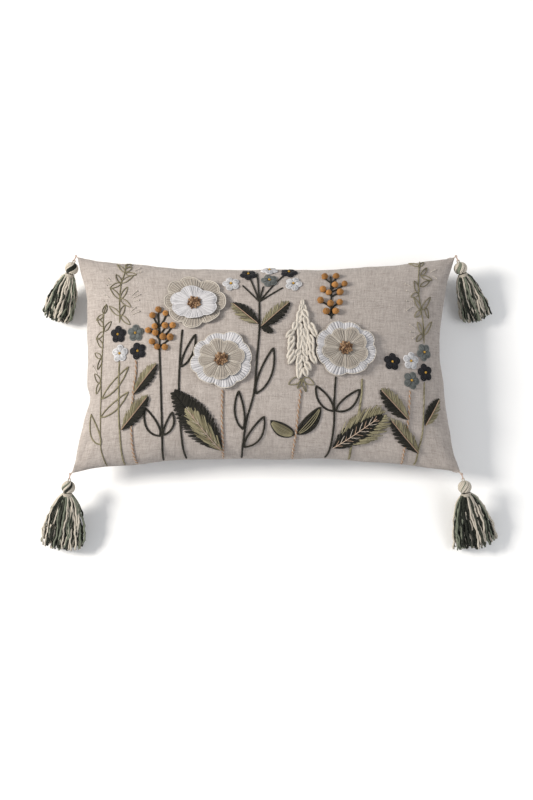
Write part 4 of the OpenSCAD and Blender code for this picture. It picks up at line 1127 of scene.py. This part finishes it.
def petal_sheet(name, centre, radius, lobes, depth, low, high, start, ridges, seed):
    """A ring of petals cut from one cloth. Its edge is the radius less a share that is deepest between
    lobes. It rises from its sewn middle to its edge as a power of the distance out, ripples with the lobes,
    and has a fine ridge for each laid thread. Also returns the sheet as a function of turn and share."""
    rng = np.random.default_rng(seed)
    rings, columns = 26, 288
    phase = rng.uniform(0, TURN, 4)

    def sheet(turn, q, above=0.0):
        """Places on the cover and heights over it, at a turn and a share q of the way out."""
        wobble = 1 + 0.03 * np.sin(3 * turn + phase[0]) + 0.02 * np.sin(5 * turn + phase[1])
        beat = start + 0.12 * np.sin(turn + phase[2])
        dents = 1 - np.abs(np.sin(lobes * (turn - beat) / 2))
        edge = (1 - depth * dents**1.6) * wobble
        ray = np.stack([np.cos(turn) * radius[0], np.sin(turn) * radius[1]], -1)
        p = np.asarray(centre, float) + ray * (q * edge)[..., None]
        ripple = np.sin(lobes * (turn - beat) / 2) ** 2
        height = low + (high - low) * q**1.4 + q**2 * (2.0 * ripple - 1.2 + 1.0 * np.sin(2 * turn + phase[3]))
        height = height + 0.22 * np.cos(ridges * turn) * np.clip(q * 1.4 - 0.3, 0, 1)
        return p, np.maximum(height, 0.8) + above

    q = np.linspace(0.10, 1, rings)[:, None]
    a = np.linspace(0, TURN, columns, endpoint=False)[None]
    points, _ = CUSHION.at(*sheet(a + 0 * q, q + 0 * a))
    ids = np.arange(rings * columns).reshape(rings, columns)
    near, far = ids[:-1], ids[1:]
    quads = np.stack([near, far, np.roll(far, -1, 1), np.roll(near, -1, 1)], -1).reshape(-1, 4)
    u = np.arange(columns)[None] / columns + 0 * q[:-1]
    v0, v1 = q[:-1] + 0 * a, q[1:] + 0 * a
    corners = [(u, v0), (u, v1), (u + 1 / columns, v1), (u + 1 / columns, v0)]
    uv = np.stack([np.stack(c, -1) for c in corners], 2).reshape(-1, 4, 2)
    piece = mesh_piece(name, points.reshape(-1, 3), [quads], [uv])
    wall = piece.modifiers.new("wall", "SOLIDIFY")
    wall.thickness, wall.offset = 0.9 * MM, -1.0
    sheet.seams = start + np.arange(lobes) / lobes * TURN
    return piece, sheet


class PILLOW_OT_poppies(Operator):
    """Make the three applique flowers: petals, their stitched lines and their knotted centres"""

    bl_idname = "pillow.poppies"
    bl_label = "Applique flowers"

    def execute(self, context):
        c, f = settings("pillow_thread"), settings("pillow_flower")
        radius = f.radius / MM
        taupe = petal_cloth("petal_taupe", f.taupe, shaded(1.25, f.taupe), shaded(0.65, f.taupe), 48)
        # The white cloth's rays are darker than the cloth: painted shade in the grooves between satin
        # threads. The taupe cloth's paler rays are its own lighter lines.
        white = petal_cloth("petal_white", f.white, shaded(0.80, f.white), shaded(0.62, f.white), 60)
        cream = thread_of("cotton_cream", [c.cream, shaded(0.9, c.cream)])
        pale = thread_of("cotton_white", [shaded(0.72, f.white), shaded(1.15, f.white)], 0.003)
        tan = thread_of("knots_tan", [(0.12, 0.062, 0.032), (0.34, 0.20, 0.11), (0.60, 0.40, 0.24)])
        for k, (name, (middle, heart, wide, narrow)) in enumerate(POPPIES.items()):
            left = name == "left"
            outer, inner = (taupe, white) if left else (white, taupe)
            base, over = petal_sheet(
                f"poppy_{name}_petals", middle, [radius * x for x in wide], 8, 0.13 if left else 0.09, 3.4,
                5.6 if left else 6.2, 0.4 + k, 56, 400 + k,
            )
            settle(base, outer, [f"poppy_{name}_base"])
            top, above = petal_sheet(
                f"poppy_{name}_heart", heart, [radius * x for x in narrow], 6 if left else 8, 0.12, 6.0,
                9.0 if left else 8.0, 1.1 + k, 44, 410 + k,
            )
            settle(top, inner, [f"poppy_{name}_top"])
            self.stitching(name, left, over, above, cream, pale)
            self.centre(name, heart, tan)
        return {"FINISHED"}

    def rays(self, bundle, sheet, count, share, radius, tone, seed, above=0.25, loose=0.04, flat=1.0):
        """Straight threads from one share of the petals' radius to another, in turn round the flower."""
        rng = np.random.default_rng(seed)
        turn = np.arange(count) / count * TURN + rng.normal(0, 0.1, count) * TURN / count
        q = np.linspace(0, 1, 7)
        out = share[0] + rng.normal(0, loose, (count, 1)) + (share[1] - share[0]) * q
        p, h = sheet(turn[:, None] + 0 * q, np.clip(out, 0.05, 0.985), above)
        spine, up = CUSHION.at(p, h)
        thin = np.sin(math.pi * (0.12 + 0.76 * q)) ** 0.4
        bundle.add(spine, up, thin * radius * MM * np.ones((count, 1)), rng.uniform(*tone, count), 6, flat)

    def rim(self, bundle, sheet, radius, tone, share=0.99):
        """A cord along the petals' cut edge."""
        turn = np.linspace(0, TURN, 181)[None]
        p, h = sheet(turn, np.full_like(turn, share), 0.0)
        spine, up = CUSHION.at(p, h)
        bundle.add(spine, up, radius * MM, np.array([tone]), 5)

    def seams(self, bundle, sheet, share, radius, tone):
        """Pairs of threads from the middle out to the cuts between petals."""
        turn = (sheet.seams[:, None] + np.array([-0.035, 0.035])).reshape(-1, 1)
        q = np.linspace(share[0], share[1], 8)
        p, h = sheet(turn + 0 * q, q + 0 * turn, 0.3)
        spine, up = CUSHION.at(p, h)
        bundle.add(spine, up, radius * MM, np.full(len(turn), tone), 5)

    def stitching(self, name, left, over, above, cream, pale):
        """The laid lines and the satin of one flower, which differ on the left one."""
        lines, satin = Bundle(), Bundle()
        if left:
            self.rays(lines, over, 56, (0.60, 0.93), 0.42, (0, 1), 430)
            self.seams(lines, over, (0.6, 0.98), 0.5, 0.2)
            self.rim(lines, over, 0.8, 0.3)
            self.rim(lines, over, 0.45, 0.3, 0.93)
            self.rays(satin, above, 66, (0.20, 0.98), 1.35, (0.1, 1), 431, 0.0, 0.02, 0.6)
            self.rim(satin, above, 0.75, 0.9)
        else:
            self.rays(satin, over, 66, (0.62, 0.985), 2.0, (0.1, 1), 432, 0.1, 0.01, 0.5)
            self.rim(lines, over, 0.75, 0.6, 0.995)
            self.rays(lines, above, 40, (0.30, 0.90), 0.36, (0, 1), 433, 0.25, 0.05)
            self.seams(lines, above, (0.24, 0.96), 0.5, 0.2)
            self.rim(lines, above, 0.6, 0.4)
            self.rim(lines, above, 0.4, 0.4, 0.93)
        slot = "thread_cream"
        lines.piece(f"poppy_{name}_lines", cream, slot=slot)
        satin.piece(f"poppy_{name}_satin", pale, slot=slot)

    def centre(self, name, middle, tan):
        """Knots packed on a sunflower spiral, each a golden turn on from the last."""
        k = np.arange(30)
        out = 10.0 * np.sqrt((k + 0.5) / len(k))
        turn = k * GOLDEN
        spiral = np.stack([np.cos(turn), 0.92 * np.sin(turn)], -1) * out[:, None]
        places = np.asarray(middle, float) + spiral
        b = Bundle()
        lift_of = 7.2 + 2.0 * (1 - (out / 10) ** 2) + 0.5 * np.sin(k * 1.7)
        knots(b, places, 2.3, (0, 1), lift_of, 440, 1.9, 1.1, 0.36)
        b.piece(f"poppy_{name}_knot_stitches", tan, f"poppy_{name}_knots", slot="thread_tan")


class PILLOW_OT_blossoms(Operator):
    """Make the small five-petal blossoms and their gold centres"""

    bl_idname = "pillow.blossoms"
    bl_label = "Blossoms"

    def execute(self, context):
        c, f = settings("pillow_thread"), settings("pillow_flower")
        radius = f.blossom / MM
        kinds = (
            ("charcoal", f.charcoal, DARK_PLACES, "dark_blossoms", "felt_dark"),
            ("grey", f.grey, GREY_PLACES, "grey_blossoms", "felt_grey"),
            ("pearl", f.pearl, WHITE_PLACES, "white_blossoms", "felt_white"),
        )
        for k, (name, shade, places, node, slot) in enumerate(kinds):
            wool = spun("wool_" + name, [shaded(0.75, shade), [min(1, 1.3 * x) for x in shade]])
            b = Bundle()
            for m, place in enumerate(places):
                self.petals(b, place, radius, math.radians(90 + 17 * m), 500 + 20 * k + m)
            b.piece(f"blossoms_{name}", wool, node, slot=slot)
        b = Bundle()
        knots(b, DARK_PLACES + GREY_PLACES + WHITE_PLACES, 2.1, (0, 1), 2.0, seed=540)
        gold = spun("thread_gold", [c.gold, shaded(0.8, c.gold)])
        b.piece("blossom_centre_knots", gold, "blossom_centres", slot="thread_gold")
        return {"FINISHED"}

    def petals(self, bundle, place, radius, start, seed):
        """Five round petals. Each is a fan of arched threads whose outer ends lie on a circle, under a loop
        of thread round the petal's edge."""
        rng = np.random.default_rng(seed)
        a = start + np.arange(5) / 5 * TURN
        way = np.stack([np.cos(a), np.sin(a)], -1)
        side = np.stack([-way[:, 1], way[:, 0]], -1)
        lobe, middle = 0.36 * radius, 0.60 * radius
        fan = np.linspace(-1, 1, 6)
        q = np.linspace(0, 1, 6)
        inner = (
            np.asarray(place, float)
            + way[:, None] * 0.14 * radius
            + side[:, None] * (fan * 0.05 * radius)[:, None]
        )
        outer = (
            np.asarray(place, float)
            + way[:, None] * (middle + lobe * np.cos(fan * 1.25))[:, None]
            + side[:, None] * (lobe * np.sin(fan * 1.25))[:, None]
        )
        p = (inner[:, :, None] * (1 - q)[:, None] + outer[:, :, None] * q[:, None]).reshape(-1, len(q), 2)
        spine, up = CUSHION.at(p, 0.8 + 1.9 * np.sin(math.pi * (0.1 + 0.8 * q)) + 0 * p[..., 0])
        thin = np.sin(math.pi * (0.18 + 0.7 * q)) ** 0.5
        bundle.add(spine, up, thin * 1.0 * MM * np.ones((len(p), 1)), rng.uniform(0, 0.8, len(p)), 6)
        turn = np.linspace(-2.5, 2.5, 15)
        ring = (
            np.asarray(place, float)
            + way[:, None] * (middle + lobe * np.cos(turn))[:, None]
            + side[:, None] * (lobe * np.sin(turn))[:, None]
        )
        spine, up = CUSHION.at(ring, np.full(ring.shape[:2], 1.3))
        bundle.add(spine, up, 1.05 * MM, rng.uniform(0.3, 1.0, 5), 6)


class PILLOW_OT_buds(Operator):
    """Make the amber buds, the cream spray, the green bow and the pale sprigs"""

    bl_idname = "pillow.buds"
    bl_label = "Buds, spray and sprigs"

    def execute(self, context):
        c = settings("pillow_thread")
        amber = spun("wool_amber", [shaded(0.7, c.amber), c.amber, shaded(1.3, c.amber)], 0.003)
        olive = thread_of("wool_olive", [c.olive, c.olive_light])
        cream = thread_of("cotton_cream", [c.cream, shaded(0.9, c.cream)])
        for k, (name, places) in enumerate((("left", BUDS_LEFT), ("right", BUDS_RIGHT))):
            b = Bundle()
            size = np.random.default_rng(560 + k).uniform(5.0, 5.9, len(places))
            knots(b, places, size, (0.2, 1), 1.4, 570 + k, 3.1, 0.8, 0.30)
            # The lower layer of knots takes only the darker amber tones: painted shade beneath the upper
            # coils.
            knots(b, places, size, (0, 0.6), 0.2, 580 + k, 2.2, 0.5, 0.30)
            b.piece(f"buds_{name}", amber, f"amber_buds_{name}", slot="thread_amber")
        self.spray(cream)
        b = Bundle()
        bases = [(52, -37), (56, -37), (54, -38), (55, -38)]
        tips = [(34, -46), (72, -46), (60, -57), (47, -52)]
        loops(b, bases, tips, [10, 9, 5, 4], 0.75, np.array([0.5, 0.6, 0.3, 0.4]), low=0.9, points=19)
        b.piece("bow", olive, "green_bow", slot="thread_olive")
        b = Bundle()
        for k, (start, end) in enumerate(PALE_TWIGS):
            thread_line(b, [start, np.mean([start, end], 0) + 0.4, end], 0.55, 0.2, low=0.8)
        ends = [end for _, end in PALE_TWIGS]
        knots(b, ends, 1.4, (0, 1), 0.4, seed=590)
        b.piece("pale_twigs", cream, "pale_sprigs", slot="thread_cream")
        return {"FINISHED"}

    def spray(self, cream):
        """Loops of thick yarn that hang down and outwards in rows, widest below the middle."""
        rng = np.random.default_rng(600)
        b = Bundle()
        bases, tips, widths = [], [], []
        for row in range(10):
            y = 68 - 9.9 * row
            share = (row + 0.7) / 10
            reach = 15 * min(1.0, (share / 0.30) ** 0.8) * (1 if share < 0.72 else 1 - 0.9 * (share - 0.72))
            for side in (-1, 1):
                for near in ((0.20, 0.85) if 1 < row < 8 else (0.30,)):
                    x = 55 + side * reach * near + rng.normal(0, 0.8)
                    bases.append((x, y + rng.normal(0, 1.4)))
                    across = x + side * (1.0 + 7.0 * near) + rng.normal(0, 2.6)
                    tips.append((across, y - rng.uniform(12.0, 17.5)))
                    widths.append(rng.uniform(5.6, 6.8))
        for x, y in ((55, 86), (53.5, 78), (57, 78)):
            bases.append((x, y))
            tips.append((x + (x - 55) * 1.5, y - 12))
            widths.append(3.6)
        n = len(bases)
        height = np.linspace(2.4, 1.2, n)
        for part in range(n):
            thick = 2.05 if widths[part] > 4 else 1.5
            loops(
                b, [bases[part]], [tips[part]], [widths[part]], thick, np.array([rng.uniform(0, 1)]),
                low=float(height[part]) + (part % 2), high=2.0, points=13, sides=7,
            )
            start, end = np.array(bases[part]), np.array(tips[part])
            filler = [start * (1 - t) + end * t for t in (0.1, 0.45, 0.8)]
            thread_line(b, filler, 1.5, 0.2, height[part] + 1.2)
        b.piece("spray_loops", cream, "cream_spray", slot="thread_cream")


class PILLOW_OT_tassels(Operator):
    """Make the yarn tassels and the cords that they hang on"""

    bl_idname = "pillow.tassels"
    bl_label = "Tassels"

    TACK, WAY, THREAD = 2.6, (0.8, 0.6), 7.5
    NECK, NECK_R, THICK, HEAD_X, HEAD_R = 22.56, 6.3, 26.0, 13.5, 10.5
    # signs of the corner in x and y, the way it lies in degrees, the skirt's spread and its length
    HANG = {
        "top_left": (-1, 1, 249.5, 52, 81), "top_right": (1, 1, -68.5, 52, 81),
        "bottom_left": (-1, -1, 261.5, 70, 91), "bottom_right": (1, -1, -77, 70, 91),
    }

    def execute(self, context):
        c = settings("pillow_tassel")
        pale = [min(1, 1.12 * x) for x in c.cream]
        yarn = spun("tassel_yarn", [c.charcoal, c.sage, c.cream, pale], 0.0045, fuzz=600.0, depth=0.0006)
        wrap = spun("tassel_wrap", [shaded(0.8, c.cream), c.cream], 0.004, depth=0.0005)
        cord = spun("hanging_cord", [c.cord, shaded(1.2, c.cord)], 0.002)
        for k, name in enumerate(CORNERS):
            x_sign, y_sign, turn, spread, skirt = self.HANG[name]
            to_world, axes = self.placed(x_sign, y_sign, math.radians(turn), self.NECK + skirt)
            rng = np.random.default_rng(700 + k)
            self.skirt(name, to_world, axes, spread, skirt, c, yarn, rng)
            self.head(name, to_world, axes, yarn, rng)
            self.binding(name, to_world, axes, wrap)
            self.cord(name, x_sign, y_sign, math.radians(turn), cord)
        return {"FINISHED"}

    def tack(self, x_sign, y_sign):
        """Place of a corner's tack, a little outside the cover's corner."""
        out = HALF_W + self.TACK * self.WAY[0], HALF_H + self.TACK * self.WAY[1]
        return np.array([x_sign * out[0], y_sign * out[1], SEAM_Z])

    def placed(self, x_sign, y_sign, turn, reach):
        """The tassel's own axes: along it and down, to its side, and up, from its hanging bar. It pitches
        down until the under side of its far end lies on the floor."""
        half = self.THICK / 2
        pitch = math.asin(SEAM_Z / math.hypot(reach, half)) - math.atan(half / reach)
        tack = self.tack(x_sign, y_sign)
        flat = np.array([math.cos(turn), math.sin(turn), 0])
        up = np.array([0, 0, 1.0])
        along = flat * math.cos(pitch) - up * math.sin(pitch)
        side = np.cross(up, flat)
        rise = np.cross(along, side)
        axes = np.stack([along, side, rise])
        start = tack + flat * self.THREAD
        return (lambda p: (start + p @ axes) * MM), axes

    def skirt(self, name, to_world, axes, spread, size, c, yarn, rng):
        """Strands that leave the neck side by side, each at its own place in the bundle's round section, and
        fan out as a power of a sine of the distance while they wander by sines of three lengths."""
        n, k = c.strands, 22
        radius = c.yarn / MM
        place = np.sqrt((np.arange(n) + 0.5) / n)
        turn = np.arange(n) * GOLDEN
        across, deep = place * np.cos(turn), place * np.sin(turn)
        s = np.linspace(0, 1, k)
        ease = np.where(s <= 0.03, 0, np.sin(np.clip((s - 0.03) / 0.97, 0, 1) * math.pi / 2) ** 0.52)
        reach = rng.uniform(0.90, 1.03, (n, 1)) - 0.05 * np.abs(across)[:, None]
        x = self.NECK + 0.3 + (size - 2) * s * reach
        stray = rng.normal(0, 0.06, (2, n, 1))
        half_w = self.NECK_R - radius + (spread / 2 - self.NECK_R) * ease
        half_t = self.NECK_R - radius + (self.THICK / 2 - self.NECK_R) * ease
        phase = rng.uniform(0, TURN, (6, n, 1))
        waves = rng.uniform(0.7, 1.4, (6, n, 1))

        def wander(m, size):
            """Sum of three sines of the distance, each shorter and weaker than the one before."""
            return sum(
                part * np.sin(s * TURN * often * waves[m + j] + phase[m + j])
                for j, (often, part) in enumerate(((1.0, size), (2.6, 0.5 * size), (6.5, 0.34 * size)))
            )

        y = half_w * (across[:, None] + stray[0] * ease) * 0.97 + wander(0, 1.7) * ease
        z = half_t * (deep[:, None] + stray[1] * ease) * 0.94 + wander(3, 1.3) * ease
        spine = to_world(np.stack([x, y, z], -1))
        spine[..., 2] = np.maximum(spine[..., 2], radius * MM)
        kind = rng.choice([0.0, 0.33, 0.68, 1.0], n, p=[0.42, 0.20, 0.20, 0.18])
        width = radius * rng.uniform(0.8, 1.2, (n, 1)) * (1 + 0.1 * np.sin(s * 40 + phase[0]))
        b = Bundle()
        b.add(spine, axes[2], width * MM, np.clip(kind + rng.normal(0, 0.03, n), 0, 1), 6)
        b.piece("tassel_skirt_" + name, yarn, "skirt_" + name, body="tassel_" + name, slot="tassel_yarn")

    def head(self, name, to_world, axes, yarn, rng):
        """Yarn drawn over a ball: strands on leaning meridians, half out of a core of the same yarn."""
        n, k = 17, 17
        lean = 0.9 + 0.12 * rng.normal(0, 1, (n, 1))
        polar = np.linspace(0.12, 2.45, k)
        core_r = self.HEAD_R - 1.7
        b = Bundle()
        turn = (np.arange(n) / n * TURN)[:, None] + lean * polar
        r = self.HEAD_R - 1.5
        x = self.HEAD_X - r * np.cos(polar) + 0 * turn
        ring = r * np.sin(polar)
        spine = to_world(np.stack([x, ring * np.cos(turn), ring * np.sin(turn)], -1))
        middle = to_world(np.array([self.HEAD_X, 0.0, 0.0]))
        width = 1.9 * (0.45 + 0.55 * np.sin(np.clip(polar, 0.2, 2.9)) ** 0.8)
        kind = rng.choice([0.0, 0.3, 0.7, 1.0], n, p=[0.14, 0.14, 0.32, 0.40])
        b.add(spine, unit(spine - middle), width * MM * np.ones((n, 1)), kind, 6)
        core = np.linspace(0.05, 2.5, 15)
        line = np.stack([self.HEAD_X - core_r * np.cos(core), 0 * core, 0 * core], -1)[None]
        b.add(to_world(line), axes[2], (core_r * np.sin(core))[None] * MM, np.array([0.3]), 32)
        turn = np.linspace(0.3, TURN - 0.3, 17)
        about = turn - math.pi
        eye = np.stack([1.9 - 2.3 * np.cos(about), 0.0 * turn, 2.0 * np.sin(about)], -1)
        for offset in (-1.6, 1.6):
            b.add(to_world(eye + [0, offset, 0])[None], axes[1], 0.7 * MM, np.array([0.9]), 6)
        b.piece("tassel_head_" + name, yarn, "head_" + name, body="tassel_" + name, slot="tassel_yarn")

    def binding(self, name, to_world, axes, wrap):
        """Cord wound four times round the neck, each turn beside the last."""
        turn = np.linspace(0, 4 * TURN, 129)
        r = self.NECK_R + 0.95
        x = self.NECK + 0.5 + turn / TURN * 1.15
        line = np.stack([x, r * np.cos(turn), r * np.sin(turn)], -1)
        b = Bundle()
        b.add(to_world(line)[None], axes[0], 0.72 * MM, np.array([0.6]), 6)
        b.piece(
            "tassel_binding_" + name, wrap, "binding_" + name, body="tassel_" + name, slot="tassel_wrap"
        )

    def cord(self, name, x_sign, y_sign, turn, finish):
        """A doubled cord from the corner's tack to the tassel's bar, two plies round each other."""
        tack = self.tack(x_sign, y_sign)
        flat = np.array([math.cos(turn), math.sin(turn), 0])
        side = np.cross([0, 0, 1.0], flat)
        s = np.linspace(0, 1, 25)
        b = Bundle()
        for phase in (0, math.pi):
            wind = s * 2.2 * TURN + phase
            line = tack + flat * (1.5 + (self.THREAD - 1.5) * s)[:, None]
            line = line + side * (0.5 * np.cos(wind))[:, None]
            line = line + np.array([0, 0, 0.5]) * np.sin(wind)[:, None]
            b.add((line * MM)[None], side, 0.55 * MM, np.array([0.5]), 6)
        ring = np.linspace(0, TURN, 25)
        eye = tack + flat * (1.5 * np.cos(ring))[:, None] + side * (1.5 * np.sin(ring))[:, None]
        b.add((eye * MM)[None], np.array([0, 0, 1.0]), 0.55 * MM, np.array([0.5]), 6)
        bar = tack + flat * self.THREAD + side * np.linspace(-2.2, 2.2, 5)[:, None]
        b.add((bar * MM)[None], np.array([0, 0, 1.0]), 0.6 * MM, np.array([0.5]), 6)
        b.piece(
            "hanging_cord_" + name, finish, "loop_" + name, body="thread_" + name, slot="hanging_thread"
        )


class PILLOW_OT_inside(Operator):
    """Make the insert and its filling, and finish the zip and the corner tacks"""

    bl_idname = "pillow.inside"
    bl_label = "Zip and insert"

    def execute(self, context):
        finishes = {
            "case_cotton": plain_cloth("case_cotton", (0.80, 0.78, 0.74), (0.62, 0.60, 0.56)),
            "fibre": plain_cloth("fibre", (0.88, 0.88, 0.86), (0.70, 0.70, 0.68), 300.0),
            "zip_tape": ribbed("zip_tape", (0.50, 0.43, 0.38), (0.36, 0.30, 0.26), 0.0009),
            "zip_coil": ribbed("zip_coil", (0.42, 0.36, 0.32), (0.20, 0.17, 0.15), 0.0012, roughness=0.45),
            "zip_metal": brushed_metal("zip_metal", (0.62, 0.62, 0.63), (0.38, 0.38, 0.39)),
            "hanging_thread": plain_cloth("tack_thread", (0.62, 0.52, 0.45), (0.40, 0.32, 0.27)),
        }
        nodes = {
            "zip_tape": ("zip_tape_upper", "zip_tape_lower"),
            "zip_coil": ("zip_coil_upper", "zip_coil_lower"),
            "zip_metal": ("zip_stop_left", "zip_stop_right", "zip_slider", "zip_pull"),
            "hanging_thread": ("corner_tacks",),
        }
        for side, grid in zip(("front", "back"), CUSHION.inside(5.5, 2)):
            i, j = np.meshgrid(*(np.linspace(-1, 1, k) for k in grid.shape[:2]), indexing="ij")
            sheet = np.stack([i * SHEET[0], j * SHEET[1]], -1)
            case = panel("insert_case_" + side, (grid, sheet), side == "back", 0.5)
            settle(case, finishes["case_cotton"], ["insert_" + side])
        front, back = CUSHION.inside(8.5, 3)
        points = np.concatenate([front.reshape(-1, 3), back[1:-1, 1:-1].reshape(-1, 3)])
        filling = mesh_piece("filling", points, [CUSHION.mesh(3)])
        settle(filling, finishes["fibre"], ["fibre_fill"])
        for slot, names in nodes.items():
            for name in names:
                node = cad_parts[name]
                node.data.materials.clear()
                node.data.materials.append(finishes[slot])
        return {"FINISHED"}


class PILLOW_OT_stage(Operator):
    """Make the floor, the soft lights and the camera"""

    bl_idname = "pillow.stage"
    bl_label = "Stage"

    def execute(self, context):
        s = settings("pillow_stage")
        scene = context.scene
        scene.view_settings.view_transform = "Standard"
        mesh = bpy.data.meshes.new("floor")
        mesh.from_pydata([(-6, -6, 0), (6, -6, 0), (6, 6, 0), (-6, 6, 0)], [], [(0, 1, 2, 3)])
        floor = bpy.data.objects.new("floor", mesh)
        scene.collection.objects.link(floor)
        paint = Finish("floor", roughness=0.9)
        paint.surface.inputs["Base Color"].default_value = (*s.floor, 1)
        mesh.materials.append(paint.material)
        world = bpy.data.worlds.new("studio")
        world.use_nodes = True
        world.node_tree.nodes["Background"].inputs["Color"].default_value = (0.965, 0.98, 1.0, 1)
        world.node_tree.nodes["Background"].inputs["Strength"].default_value = s.ambient
        scene.world = world
        self.light("key", (-2.9, 0.4, 2.1), 1.0, s.key, (1.0, 0.96, 0.90))
        self.light("fill", (1.8, -0.5, 1.9), 1.4, s.fill, (0.97, 0.98, 1.0))
        camera = bpy.data.objects.new("camera", bpy.data.cameras.new("camera"))
        camera.data.sensor_width, camera.data.lens = 36.0, s.lens
        tilt, far = math.radians(10), 2.019
        aim = Vector((0.0008, -0.058, SEAM_Z * MM))
        camera.location = aim + Vector((0, -math.sin(tilt), math.cos(tilt))) * far
        camera.rotation_euler = (tilt, 0, 0)
        camera.data.clip_start, camera.data.clip_end = 0.05, 50
        scene.collection.objects.link(camera)
        scene.camera = camera
        return {"FINISHED"}

    def light(self, name, place, size, power, shade):
        """A square soft light that faces the origin."""
        lamp = bpy.data.lights.new(name, "AREA")
        lamp.shape, lamp.size, lamp.energy, lamp.color = "SQUARE", size, power, shade
        made = bpy.data.objects.new(name, lamp)
        made.location = place
        made.rotation_euler = (-Vector(place)).to_track_quat("-Z", "Y").to_euler()
        bpy.context.scene.collection.objects.link(made)


OPERATORS = (
    PILLOW_OT_stage,
    PILLOW_OT_cover,
    PILLOW_OT_stems,
    PILLOW_OT_leaves,
    PILLOW_OT_poppies,
    PILLOW_OT_blossoms,
    PILLOW_OT_buds,
    PILLOW_OT_tassels,
    PILLOW_OT_inside,
)


class PILLOW_PT_sidebar(Panel):
    """Lists the pieces' operators and their settings"""

    bl_label = "Pillow"
    bl_space_type = "VIEW_3D"
    bl_region_type = "UI"
    bl_category = "Pillow"

    def draw(self, context):
        for operator in OPERATORS:
            self.layout.operator(operator.bl_idname)
        for group, kind in GROUPS.items():
            box = self.layout.box()
            box.label(text=kind.__doc__)
            for name in kind.__annotations__:
                box.prop(getattr(context.scene, group), name)


def register():
    for kind in (*GROUPS.values(), *OPERATORS, PILLOW_PT_sidebar):
        bpy.utils.register_class(kind)
    for group, kind in GROUPS.items():
        setattr(bpy.types.Scene, group, PointerProperty(type=kind))


def unregister():
    for group in GROUPS:
        delattr(bpy.types.Scene, group)
    for kind in (PILLOW_PT_sidebar, *reversed(OPERATORS), *reversed(tuple(GROUPS.values()))):
        bpy.utils.unregister_class(kind)


def main():
    register()
    for operator in OPERATORS:
        area, name = operator.bl_idname.split(".")
        getattr(getattr(bpy.ops, area), name)()


if __name__ == "__main__":
    main()
